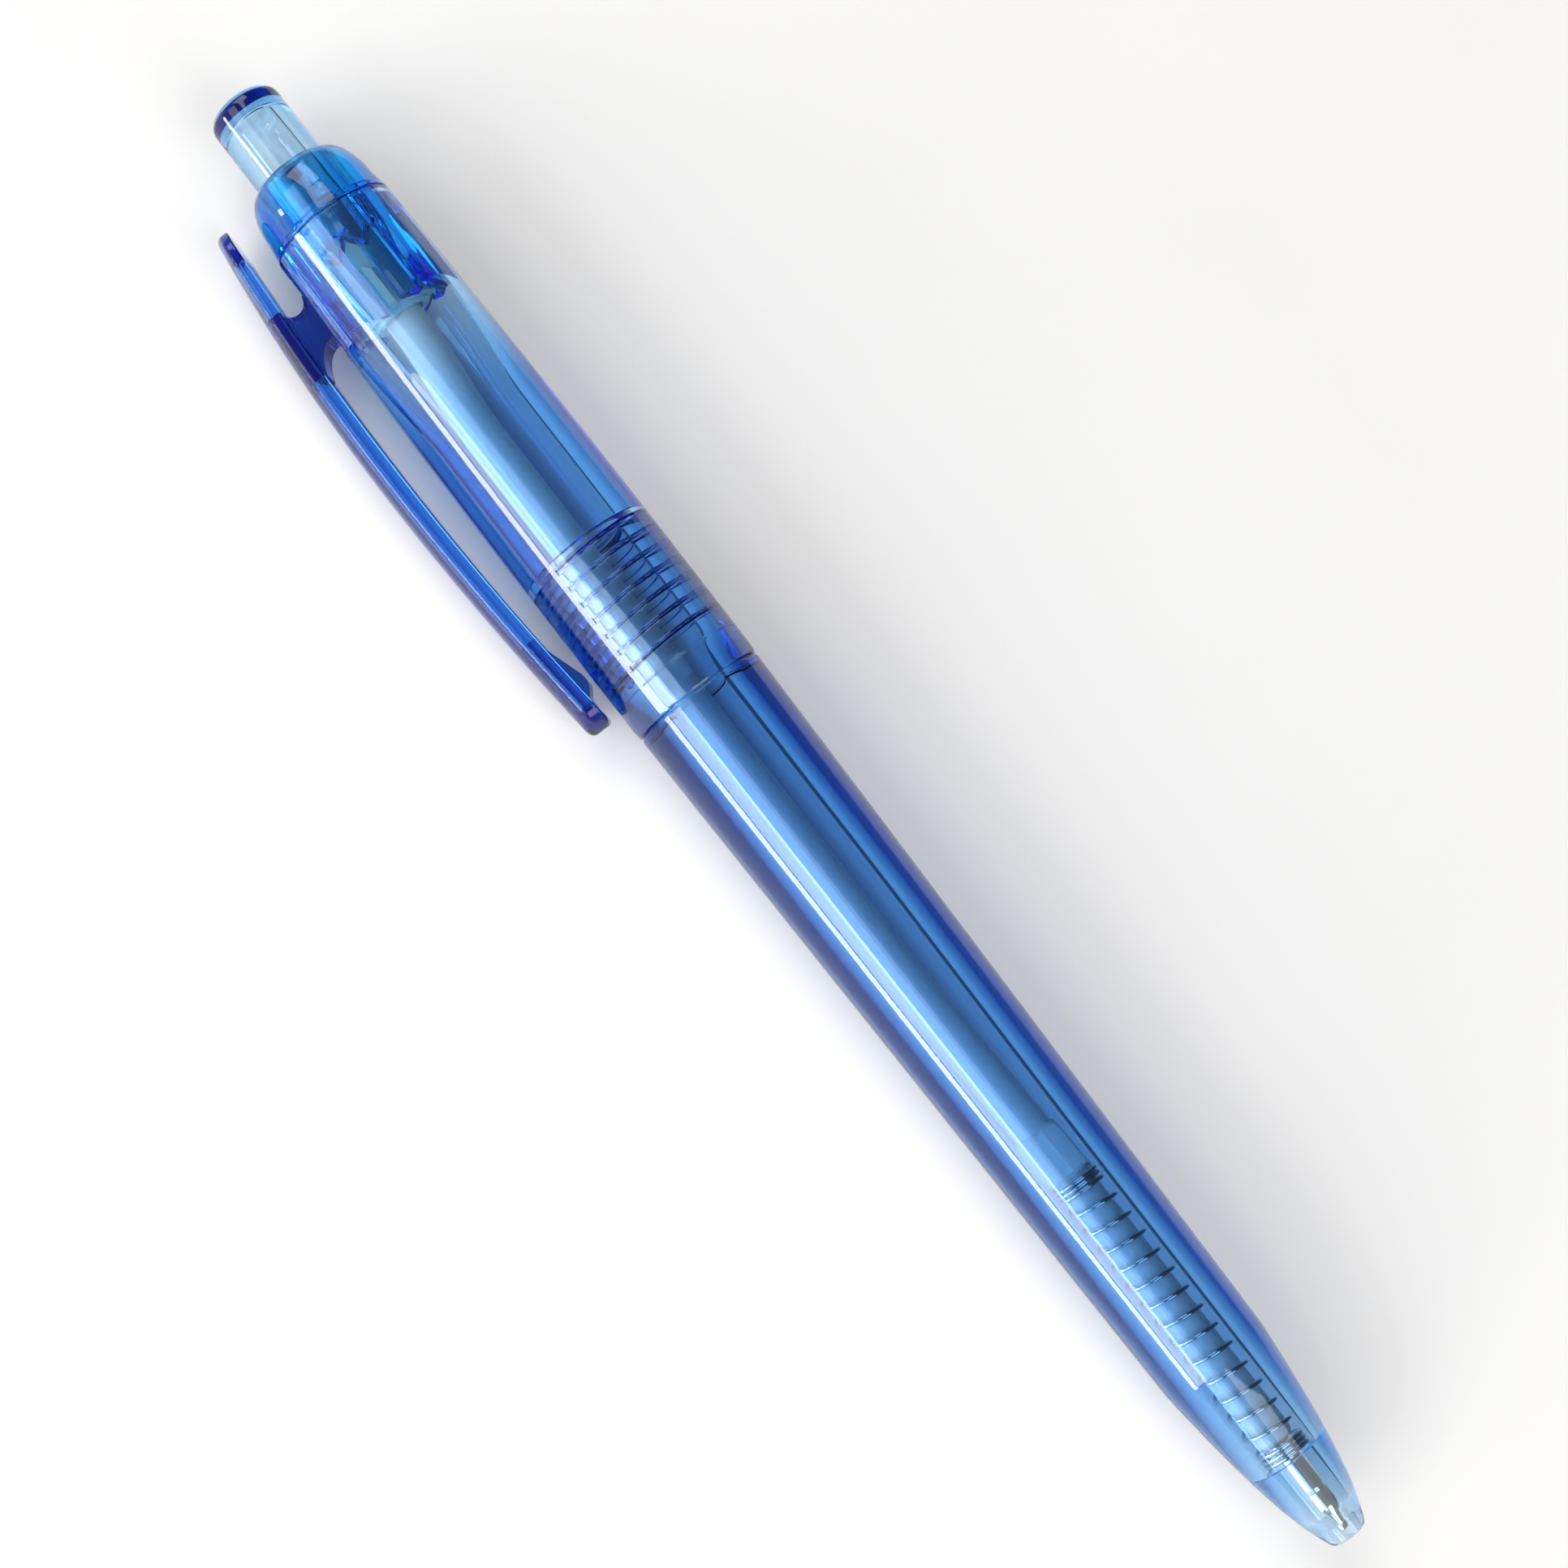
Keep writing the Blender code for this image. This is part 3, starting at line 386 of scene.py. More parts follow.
lowerBarrel = {
    "columns": 176, "jointZ": 81.3, "jointRadius": 5.70, "edge": (4.66, 16.5), "noseBend": (3.58, 4.5), "noseRows": 40,
    "noseTip": (1.95, 0.9), "tipBend": 0.3, "tipRows": 10, "noseFace": 1.5, "mouth": (1.25, 1.5), "tipBore": (1.78, 2.6),
    "seatZ": 7.5, "springBore": (2.33, 38.0), "refillBore": (2.55, 60.0), "refillBoreTop": 82.6, "spigotBore": (3.3, 85.0),
    "spigotTop": 95.9, "chamfer": 0.45, "crest": 4.79, "crestZ": (95.3, 84.6), "crestRows": 260, "neck": (4.85, 84.2),
    "neckStep": 0.22, "ridge": 0.1, "ridgeFrom": 4.5,
}


# A turned outline; on the spigot the radius gains the thread's narrow ridge.
def makeLowerBarrel(s):
    crest, spigotTop, jointZ, seatZ = s["crest"], s["spigotTop"], s["jointZ"], s["seatZ"]
    neckR, neckZ = s["neck"]
    outline = softPath(
        (s["spigotBore"][0], spigotTop, 0.15), (crest - s["chamfer"], spigotTop, 0.08),
        (crest, spigotTop - s["chamfer"], 0.1), straight(*((crest, z) for z in s["crestZ"]), s["crestRows"]),
        (crest, neckZ + s["neckStep"], 0.05), (neckR, neckZ, 0.05), (neckR, jointZ, 0.06),
        (s["jointRadius"], jointZ, 0.2), (*s["edge"], 0.12),
        swept(s["edge"], s["noseBend"], s["noseTip"], s["noseRows"])[2:-1],
        swept(s["noseTip"], (s["noseTip"][0] - s["tipBend"], 0.0), (s["noseFace"], 0.0), s["tipRows"]),
        (s["mouth"][0], 0.0, 0.12), (*s["mouth"], 0.15), (*s["tipBore"], 0.2), (s["tipBore"][0], seatZ, 0.1),
        (s["springBore"][0], seatZ, 0.12), (*s["springBore"], 2.0), (*s["refillBore"], 2.0),
        (s["refillBore"][0], s["refillBoreTop"], 0.8), (*s["spigotBore"], 0.8))
    turn = fullTurn(s["columns"])
    radius, height = outline[:, :1], outline[:, 1:]
    ridge = (radius > s["ridgeFrom"]) * s["ridge"] * threadLine(turn, height)
    mesh = gridMesh("lowerBarrelClear", swing(radius + ridge, height, turn))
    return takeOver(addObject("lowerBarrelClear", mesh, lowerFinish), "barrel", "lower_barrel")


# A bar along the axis whose half-width changes from its inner to its outer side.
def dovetailBar(name, section, ends, bend=0.08, steps=3):
    (innerX, innerY), (outerX, outerY) = section
    corners = np.array(((innerX, -innerY), (outerX, -outerY), (outerX, outerY), (innerX, innerY)))
    outline = soften(corners, np.full(len(corners), bend), steps)
    z = np.broadcast_to(np.array(ends)[:, None, None], (2, len(outline), 1))
    grid = np.concatenate((np.broadcast_to(outline[None], (2, *outline.shape)), z), -1)
    return addObject(name, gridMesh(name, grid, wrapRows=False))


upperBarrel = {
    "columns": 192, "low": 81.45, "top": 129.2, "widest": (5.815, 93.0), "fall": 0.455 / 36.2 ** 2, "swellFrom": 0.5,
    "swellRows": 30, "lip": (0.08, 0.8), "socket": (4.78, 96.3), "entry": (4.84, 84.2), "entryStep": 0.12,
    "landFrom": 0.5, "landTo": 0.3, "landRows": 280, "groove": 0.32, "grooveBelow": 5.0, "bore": (3.6, 110.0),
    "chamber": (4.15, 114.2), "capSocket": (4.62, 119.2),
    "slotSection": ((4.12, 2.609), (5.98, 1.231)), "slotZ": (120.08, 130.2),
}


# A turned sleeve whose outside swells with the square of the way from its widest place. Its socket has the thread's
# narrow groove. The clip's dovetail slot, wider inside than outside, is cut down from its top edge.
def makeUpperBarrel(s):
    widestR, widestZ = s["widest"]
    entryR, entryZ = s["entry"]
    socketR, socketZ = s["socket"]
    lipDepth, lipLength = s["lip"]
    z = np.linspace(s["top"] - s["swellFrom"], s["low"] + lipLength, s["swellRows"])
    outside = np.column_stack((widestR - s["fall"] * (z - widestZ) ** 2, z, np.zeros_like(z)))
    topRadius, lowRadius = (widestR - s["fall"] * (end - widestZ) ** 2 for end in (s["top"], s["low"]))
    outline = softPath(
        (topRadius, s["top"], 0.1), outside, (lowRadius - lipDepth, s["low"], 0.22), (entryR, s["low"], 0.1),
        (entryR, entryZ, 0.05), (socketR, entryZ + s["entryStep"], 0.05),
        straight((socketR, entryZ + s["landFrom"]), (socketR, socketZ - s["landTo"]), s["landRows"]),
        (socketR, socketZ, 0.12), (s["bore"][0], socketZ, 0.2), (*s["bore"], 1.2), (*s["chamber"], 1.2),
        (*s["capSocket"], 1.2), (s["capSocket"][0], s["top"], 0.12))
    turn = fullTurn(s["columns"])
    radius, height = outline[:, :1], outline[:, 1:]
    inSocket = (radius < s["grooveBelow"]) & (height < socketZ)
    mesh = gridMesh("upperBarrelClear", swing(radius + inSocket * s["groove"] * threadLine(turn, height), height, turn))
    piece = addObject("upperBarrelClear", mesh, upperFinish)
    carve(piece, [(dovetailBar("clipSlot", s["slotSection"], s["slotZ"]), "DIFFERENCE")])
    return takeOver(piece, "barrel", "upper_barrel")


# Eight cam pitches, turned so that a groove looks straight up.
cam = {"pitchDeg": 45.0, "phaseDeg": -22.5}
camHalfDeg = cam["pitchDeg"] / 2


# Turn angle in degrees from the middle of the nearest rib, and the number of that rib.
def camPlace(turn):
    degrees = (np.degrees(turn) - cam["phaseDeg"] + camHalfDeg) % 360
    return degrees % cam["pitchDeg"] - camHalfDeg, degrees // cam["pitchDeg"]


endCap = {
    "columns": 512, "mouth": 3.5, "top": 134.6, "shoulder": (130.9, 5.10), "shoulderArc": (80, 2, 26),
    "seam": (5.36, 129.25), "spigot": 4.63, "rib": 3.4, "grooves": (4.0, 3.72), "ribHalf": 12.0, "ribFlank": 2.5,
    "guideTop": 130.0, "guideMid": 128.5, "slotTop": 127.0, "stepDeg": 1.0, "latchSlope": (120.1, 119.7),
    "returnSlope": (120.85, 119.4), "edge": 0.12, "edgeCut": 0.03, "edgeRise": 0.02,
}


# A head turned to a quarter-ellipse shoulder. Its bore is the cam guide: eight ribs, and grooves that are deep and
# shallow by turns. The deep ones slit the spigot into fingers; a finger ends in two slopes with a step between them.
def makeEndCap(s):
    mouth, spigot, guideTop, ribHalf = s["mouth"], s["spigot"], s["guideTop"], s["ribHalf"]
    turn = fullTurn(s["columns"])
    off, rib = camPlace(turn)
    share = ease(np.abs(off), ribHalf, ribHalf + s["ribFlank"])
    groove = (rib + np.where(off > 0, 0, -1)) % 2
    guide = s["rib"] + share * (np.where(groove == 0, *s["grooves"]) - s["rib"])
    evenRib = rib % 2 == 0
    alongLatch = np.clip((off + ribHalf) / (2 * ribHalf), 0, 1)
    alongReturn = (off + cam["pitchDeg"] * evenRib - ribHalf - s["stepDeg"]) / (cam["pitchDeg"] - s["stepDeg"])
    latchZ = s["latchSlope"][0] + alongLatch * (s["latchSlope"][1] - s["latchSlope"][0])
    returnZ = s["returnSlope"][0] + np.clip(alongReturn, 0, 1) * (s["returnSlope"][1] - s["returnSlope"][0])
    stepped = latchZ + (returnZ - latchZ) * ease(off, ribHalf, ribHalf + s["stepDeg"])
    fingerZ = np.where(evenRib, returnZ, stepped)
    endZ = np.where(groove == 0, fingerZ + share * (s["slotTop"] - fingerZ), fingerZ)
    shoulderZ, shoulderR = s["shoulder"]
    path = softPath(
        (mouth, guideTop, 0.1), (mouth, s["top"], 0.25),
        ellipse((mouth, shoulderZ), (shoulderR - mouth, s["top"] - shoulderZ), *s["shoulderArc"]),
        (*s["seam"], 0.07), (spigot, s["seam"][1], 0.07))
    rows = [
        *path, (spigot, s["guideMid"]), (spigot, endZ + s["edge"]), (spigot - s["edgeCut"], endZ + s["edgeRise"]),
        (0.5 * (spigot + guide), endZ), (guide + s["edgeCut"], endZ + s["edgeRise"]), (guide, endZ + s["edge"]),
        (guide, s["guideMid"]), (guide, guideTop - s["edge"]), (0.5 * (guide + mouth), guideTop)]
    mesh = gridMesh("endCapBlue", swingRows(rows, turn), sharpDeg=32)
    return takeOver(addObject("endCapBlue", mesh, capFinish), "barrel", "end_cap")


pushButton = {
    "columns": 480, "radius": 3.12, "face": (2.0, 142.0), "faceEdge": 0.1, "faceRows": 5, "pole": 0.2, "rounding": 1.12,
    "rimRows": 14, "sideZ": 139.0, "boreLow": (2.2, 128.5), "boreTop": (1.9, 140.3), "boreBend": (1.91, 138.8),
    "roof": 0.6, "roofRows": 8, "fin": 3.55, "finTop": 129.7, "finSteps": (0.2, 0.05, -0.15, -0.3), "finHalf": 5.0,
    "finFlank": 2.0, "finCut": 0.06, "teeth": (127.1, 125.7), "toothEdge": (0.08, 0.1),
}


# Height of the V teeth at a turn angle: highest in the middle of each groove, lowest behind each rib.
def toothHeight(turn, high, low):
    return low + np.abs(camPlace(turn)[0]) / camHalfDeg * (high - low)


# A thimble with a rounded end, eight guide fins and V teeth on its lower edge.
def makePushButton(s):
    turn = fullTurn(s["columns"])
    off = camHalfDeg - np.abs(camPlace(turn)[0])
    fins = s["radius"] + (s["fin"] - s["radius"]) * (1 - ease(off, s["finHalf"], s["finHalf"] + s["finFlank"]))
    teeth = toothHeight(turn, *s["teeth"])
    faceR, faceZ = s["face"]
    roofR, roofZ = s["boreTop"]
    boreR = s["boreLow"][0]
    rimSize, roofSize = (s["rounding"],) * 2, (s["roof"],) * 2
    face = [(radius, faceZ) for radius in np.linspace(s["pole"], faceR - s["faceEdge"], s["faceRows"])]
    rim = ellipse((faceR, faceZ - s["rounding"]), rimSize, 90, 0, s["rimRows"])
    roof = ellipse((roofR - s["roof"], roofZ - s["roof"]), roofSize, 0, 90, s["roofRows"])
    finZ = [s["finTop"] + step for step in s["finSteps"]]
    toothCut, toothRise = s["toothEdge"]
    rows = [
        *face, *rim, (s["radius"], s["sideZ"]), (s["radius"], finZ[0]), (s["radius"], finZ[1]), (fins, finZ[2]),
        (fins, finZ[3]), (fins, teeth + toothRise), (fins - s["finCut"], teeth), (boreR + toothCut, teeth),
        (boreR, teeth + toothRise), s["boreLow"], s["boreBend"], *roof, (s["roof"], roofZ), (s["pole"], roofZ)]
    mesh = gridMesh("pushButtonClear", swingRows(rows, turn), wrapRows=False, sharpDeg=32)
    return takeOver(addObject("pushButtonClear", mesh, buttonFinish), "button", "push_button")


camRotor = {
    "columns": 480, "pole": 0.3, "pin": (1.7, 131.0), "radius": 3.05, "fin": 3.75, "finHigh": 124.2, "finLow": 123.55,
    "finEnd": 120.2, "finHalf": 5.0, "finFlank": 2.0, "teeth": (126.65, 125.25), "neck": 119.95, "stem": 2.6,
    "end": 119.6, "cup": (1.9, 122.9), "cupEdge": 0.15, "edge": 0.1, "fineEdge": 0.08, "pinEdge": 0.35, "crownFoot": 0.15,
    "finLead": (0.17, 0.12, 0.02), "finFoot": (0.12, 0.15), "finCut": 0.06,
}


# A pin, a toothed crown that mates with the button, four fins with slanted tops, a stem and a cup for the tube.
def makeCamRotor(s):
    turn = fullTurn(s["columns"])
    degrees = (np.degrees(turn) - cam["phaseDeg"]) % 360
    off = degrees % cam["pitchDeg"] - camHalfDeg
    finned = (degrees // cam["pitchDeg"]) % 2 == 0
    body, stem, end, finEnd, edge, fine = (s[key] for key in ("radius", "stem", "end", "finEnd", "edge", "fineEdge"))
    fins = body + finned * (s["fin"] - body) * (1 - ease(np.abs(off), s["finHalf"], s["finHalf"] + s["finFlank"]))
    slant = np.clip((off + s["finHalf"]) / (2 * s["finHalf"]), 0, 1)
    finTop = s["finHigh"] + (s["finLow"] - s["finHigh"]) * slant
    crown = toothHeight(turn, *s["teeth"])
    pinR, pinZ = s["pin"]
    cupR, cupZ = s["cup"]
    pinEdge, cupEdge = s["pinEdge"], s["cupEdge"]
    leadZ = [finTop + rise for rise in s["finLead"]]
    footZ = [finEnd - fall for fall in s["finFoot"]]
    rows = [
        (s["pole"], pinZ), (pinR - pinEdge, pinZ), (pinR - edge, pinZ - fine), (pinR, pinZ - pinEdge),
        (pinR, crown + s["crownFoot"]), (pinR + edge, crown), (body - fine, crown), (body, crown - fine),
        (body, leadZ[0]), (body, leadZ[1]), (fins - fine, leadZ[2]), (fins, finTop - fine), (fins, finEnd + edge),
        (fins - s["finCut"], finEnd), (body, footZ[0]), (body, footZ[1]), (stem, s["neck"]), (stem, end + edge),
        (stem - edge, end), (cupR + edge, end), (cupR, end + cupEdge), (cupR, cupZ - edge), (cupR - cupEdge, cupZ),
        (s["pole"], cupZ)]
    mesh = gridMesh("camRotorMilky", swingRows(rows, turn), wrapRows=False, sharpDeg=32)
    return takeOver(addObject("camRotorMilky", mesh, rotorFinish), "rotor", "cam_rotor")


refill = {
    "columns": 192, "radius": 1.63, "bore": 1.1, "top": 122.5, "topEdge": (0.08, 0.1), "front": 1.55, "end": 9.1,
    "round": 0.5, "roundArc": (0, -80, 8), "roundLead": 0.05, "rows": (60, 24, 20), "outsideFrom": 1.4,
    "ears": (34.6, 38.5), "earRamp": 0.3, "earLead": 0.2, "earFoot": (0.12, 0.02), "earStep": (0.15, 0.2), "earTip": 2.0,
    "earRoll": -12.0,
    "earFlat": (90.0, 1.25), "earSlope": (68.6, 1.437), "earSide": 1.9, "leastLean": 0.2,
    "bow": 0.8, "bowUp": (27.0, 60.0), "bowDown": (107.0, 119.4),
}


# The tube lies in its bore with a slight bow: sideways by a flat-topped hump of the height.
def bowAt(height, s=refill):
    return s["bow"] * ease(height, *s["bowUp"]) * (1 - ease(height, *s["bowDown"]))


# Radius of the pinched length at a turn angle: the nearest of eight flats, each its distance over the cosine of the
# angle to it, cut off at the ears' tips.
def pinchedAt(turn, s=refill):
    flatDeg, flatAway = s["earFlat"]
    slopeDeg, slopeAway = s["earSlope"]
    facing = np.array((0, 180, flatDeg, -flatDeg, slopeDeg, -slopeDeg, 180 - slopeDeg, slopeDeg - 180)) + s["earRoll"]
    away = np.repeat((s["earSide"], flatAway, slopeAway), (2, 2, 4))
    lean = np.cos(turn[..., None] - np.radians(facing))
    nearest = np.where(lean > s["leastLean"], away / np.maximum(lean, s["leastLean"]), s["earTip"])
    return np.minimum(s["earTip"], np.min(nearest, -1))


# A tube pinched over a short length: there the radius goes over to that of the flats.
def makeRefillTube(s):
    low, high = s["ears"]
    wall, front, bend = s["radius"], s["front"], s["round"]
    upperRows, pinchRows, lowerRows = s["rows"]
    rampTop, roundTop = high + s["earRamp"], s["end"] + bend
    footLow, footHigh = s["earFoot"]
    stepTop, stepLow = (low - fall for fall in s["earStep"])
    edgeIn, edgeDown = s["topEdge"]
    path = np.vstack((
        ((wall - edgeIn, s["top"]),),
        straight((wall, s["top"] - edgeDown), (wall, rampTop + s["earLead"]), upperRows)[:, :2],
        straight((wall, rampTop), (wall, stepTop), pinchRows)[:, :2],
        straight((front, stepLow), (front, roundTop + s["roundLead"]), lowerRows)[:, :2],
        ellipse((front - bend, roundTop), (bend, bend), *s["roundArc"])[:, :2],
        straight((s["bore"], s["end"]), (s["bore"], s["top"]), upperRows)[:, :2]))
    turn = fullTurn(s["columns"])
    radius, height = path[:, :1], path[:, 1:]
    squeeze = ease(height, low - footLow, low + footHigh) * (1 - ease(height, high, rampTop))
    squeeze *= radius > s["outsideFrom"]
    grid = swing(radius + squeeze * (pinchedAt(turn) - radius), height, turn)
    grid[..., 0] += bowAt(grid[..., 2])
    return takeOver(addObject("refillTubeMilky", gridMesh("refillTubeMilky", grid), tubeFinish), "refill", "refill_tube")


inkColumn = {
    "columns": 64, "radius": 1.06, "low": 12.5, "top": 92.0, "dish": 0.35, "dishRows": 10, "sideRows": 40, "pole": 0.1,
    "edge": 0.1, "topEdge": 0.05,
}


# A column with a dished top, where the ink has drawn away from the tube's wall.
def makeInkColumn(s):
    radius, low, top = s["radius"], s["low"], s["top"]
    share = np.linspace(s["pole"], 1, s["dishRows"])
    dish = np.column_stack((radius * share, top - s["dish"] * (1 - share ** 2)))
    side = straight((radius, top - s["topEdge"]), (radius, low + s["edge"]), s["sideRows"])[:, :2]
    path = np.vstack((dish, side, ((radius - s["edge"], low), (s["pole"], low))))
    grid = swing(path[:, :1], path[:, 1:], fullTurn(s["columns"]))
    grid[..., 0] += bowAt(grid[..., 2])
    mesh = gridMesh("inkColumnBlue", grid, wrapRows=False)
    return takeOver(addObject("inkColumnBlue", mesh, inkFinish), "refill", "ink_column")


pointBody = {
    "columns": 96, "radius": 0.98, "top": 12.1, "topChamfer": (0.1, 0.2), "coneZ": 3.1, "lip": (0.44, 0.95),
    "lipLength": 0.2, "lipEdge": 0.38, "channel": 0.2, "ballZ": 1.15, "cup": 0.395, "cupRows": 14,
    "ring": (4.6, 0.16, 0.06),
}


# A turned point: a straight shank with one fine tool ring, a cone and a lip rolled over the ball's cup.
def makePointBody(s):
    shank, top, cup = s["radius"], s["top"], s["cup"]
    lipR, lipZ = s["lip"]
    lowDeg = math.degrees(math.asin((lipZ - s["ballZ"]) / cup))
    highDeg = math.degrees(math.acos(s["channel"] / cup))
    ringZ, ringHalf, ringDepth = s["ring"]
    cutIn, cutDown = s["topChamfer"]
    outline = softPath(
        (shank - cutIn, top, 0.05), (shank, top - cutDown, 0.05),
        (shank, ringZ + ringHalf, 0.03), (shank - ringDepth, ringZ, 0.03), (shank, ringZ - ringHalf, 0.03),
        (shank, s["coneZ"], 0.25), (lipR, lipZ + s["lipLength"], 0.06), (s["lipEdge"], lipZ, 0.03),
        ellipse((0, s["ballZ"]), (cup, cup), lowDeg, highDeg, s["cupRows"]), (s["channel"], top, 0.05))
    mesh = gridMesh("pointBodyMetal", swing(outline[:, :1], outline[:, 1:], fullTurn(s["columns"])))
    return takeOver(addObject("pointBodyMetal", mesh, pointFinish), "refill", "point_body")


writingBall = {"columns": 48, "rows": 25, "radius": 0.35, "z": 1.15, "pole": 0.06}


# A sphere: radius times the sine and cosine of the angle from its upper pole.
def makeWritingBall(s):
    polar = np.linspace(s["pole"], np.pi - s["pole"], s["rows"])[:, None]
    grid = swing(s["radius"] * np.sin(polar), s["z"] + s["radius"] * np.cos(polar), fullTurn(s["columns"]))
    mesh = gridMesh("writingBallMetal", grid, wrapRows=False, sharpDeg=60)
    return takeOver(addObject("writingBallMetal", mesh, ballFinish), "ball", "writing_ball")


returnSpring = {
    "wire": 0.38, "radius": 1.905, "low": 7.69, "high": 34.26, "endTurns": 2.9, "endEase": 0.35, "endPitch": 0.41,
    "pitch": 1.77, "perTurn": 72, "around": 16, "pressed": 5.0, "seatZ": 7.5,
}


# A left-hand helix. Its height is the running sum of a pitch that eases from the closed end turns to the open
# middle; the wire's ring stands in the plane of the radius and the second normal of the path.
def makeReturnSpring(s):
    rise = s["high"] - s["low"]
    turns = 2 * s["endTurns"] + (rise - 2 * s["endTurns"] * s["endPitch"]) / s["pitch"]
    along = np.linspace(0, turns, round(turns * s["perTurn"]))
    fromLow, fromHigh = s["endTurns"], turns - s["endTurns"]
    opening = ease(along, fromLow - s["endEase"], fromLow + s["endEase"])
    closing = ease(along, fromHigh - s["endEase"], fromHigh + s["endEase"])
    pitch = s["endPitch"] + (s["pitch"] - s["endPitch"]) * (opening * (1 - closing))
    height = np.concatenate(((0,), np.cumsum(0.5 * (pitch[1:] + pitch[:-1]) * np.diff(along))))
    height = s["low"] + height * rise / height[-1]
    angle = -2 * np.pi * along
    radial = np.column_stack((np.cos(angle), np.sin(angle), np.zeros_like(angle)))
    centre = s["radius"] * radial + np.column_stack((0 * angle, 0 * angle, height))
    tangent = np.gradient(centre, axis=0)
    tangent /= np.linalg.norm(tangent, axis=1, keepdims=True)
    second = np.cross(tangent, radial)
    ring = fullTurn(s["around"])[0][None, :, None]
    grid = centre[:, None] + s["wire"] / 2 * (np.cos(ring) * radial[:, None] + np.sin(ring) * second[:, None])
    piece = addObject("returnSpringWire", gridMesh("returnSpringWire", grid, wrapRows=False, sharpDeg=60), springFinish)
    takeOver(piece, "barrel", "return_spring")
    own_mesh(piece)
    return piece


clipShape = {
    "stations": 150, "top": 134.3, "end": 84.0, "peakZ": 110.0, "outer": (9.96, 1.75, 1.30), "inner": (7.87, 0.93, 1.30),
    "half": 2.6, "endArc": (8, 90, 22), "endShare": 0.985, "endRound": 0.75, "endThick": 0.45, "edgeShare": 0.55,
    "crownColumns": 13, "bends": (0.2, 0.12, 0.25, 0.25, 0.12, 0.2, 0.3), "hollow": (85.8, 131.5), "hollowEase": 0.5,
    "hollowHalf": (1.7, 1.45), "hollowWidest": (0.62, 0.5), "hollowShare": 0.5,
    "webHalf": 1.5, "webZ": (121.9, 125.0), "notch": (6.5, 1.05, 1.0), "notchArc": (-180, 0, 25), "sweep": (6.9, 2.2),
    "sweepRows": 20, "sweepSink": 0.05, "root": 1.35, "foot": ((4.78, 1.9), (5.32, 1.5)), "footZ": (120.3, 128.9),
    "footCover": 0.1, "padHalf": 1.2, "padTop": 92.9, "padLand": (87.5, 88.3, 6.12), "padEnd": 86.1, "padRoot": 1.4,
    "padSink": 0.3, "sharpDeg": 35, "bend": ((5.32, 120.3), (6.42, 120.289)),
}


# Arch of a clip face: its peak less a drop that grows with the square of the way to the end.
def clipArch(height, face, s=clipShape):
    peak, dropUp, dropDown = s[face]
    up = (height - s["peakZ"]) / (s["top"] - s["peakZ"])
    down = (s["peakZ"] - height) / (s["peakZ"] - s["end"])
    return peak - np.where(height > s["peakZ"], dropUp * up ** 2, dropDown * down ** 2)


# A flat bar across the clip: an outline of (x, z) points carried from one side to the other.
def sideBar(name, outline, half):
    y = np.array((-half, half))[:, None, None]
    flat = np.broadcast_to(outline[None], (2, *outline.shape))
    grid = np.concatenate((flat[..., :1], np.broadcast_to(y, (2, len(outline), 1)), flat[..., 1:]), -1)
    return addObject(name, gridMesh(name, grid, wrapRows=False))


# One section carried along the arch: upright sides, a crowned outer face and a channel in the underside that fades
# out before both ends; the width follows half rounds at the ends, and the thickness shrinks there too.
def clipLever(s):
    e = s["half"]
    ends = e * (1 - np.cos(np.radians(np.linspace(*s["endArc"]))))
    middleZ = np.linspace(s["end"] + e, s["top"] - e, s["stations"])[1:-1]
    z = np.concatenate((s["end"] + ends, middleZ, s["top"] - ends[::-1]))
    toEnd = np.minimum(s["top"] - z, z - s["end"])
    half = np.sqrt(e ** 2 - np.clip(e - toEnd, 0, s["endShare"] * e) ** 2)
    inner, outer = clipArch(z, "inner"), clipArch(z, "outer")
    middle = 0.5 * (inner + outer)
    thick = s["endThick"] + (1 - s["endThick"]) * np.sqrt(1 - np.clip(1 - toEnd / s["endRound"], 0, 1) ** 2)
    inner, outer = middle + (inner - middle) * thick, middle + (outer - middle) * thick
    edge = inner + s["edgeShare"] * (outer - inner)
    hollowLow, hollowHigh = s["hollow"]
    hollow = ease(z, hollowLow, hollowLow + s["hollowEase"]) * (1 - ease(z, hollowHigh - s["hollowEase"], hollowHigh))
    roof = inner + s["hollowShare"] * (outer - inner) * hollow
    lip, bed = (np.minimum(most, share * half) for most, share in zip(s["hollowHalf"], s["hollowWidest"]))
    y = np.linspace(1, -1, s["crownColumns"] + 2)[1:-1]
    crownX = edge[:, None] + (outer - edge)[:, None] * (1 - y[None] ** 2)
    crown = np.stack((crownX, half[:, None] * y[None]), -1)
    underside = ((inner, -half), (inner, -lip), (roof, -bed), (roof, bed), (inner, lip), (inner, half), (edge, half))
    first = np.stack([np.column_stack(corner) for corner in underside], 1)
    corners = np.concatenate((first, crown, np.column_stack((edge, -half))[:, None]), 1)
    section = soften(corners, np.concatenate((s["bends"], np.zeros(s["crownColumns"]), s["bends"][-1:])))
    grid = np.concatenate((section, np.broadcast_to(z[:, None, None], (*section.shape[:2], 1))), -1)
    return addObject("clipBlue", gridMesh("clipBlue", grid, wrapRows=False), clipFinish)


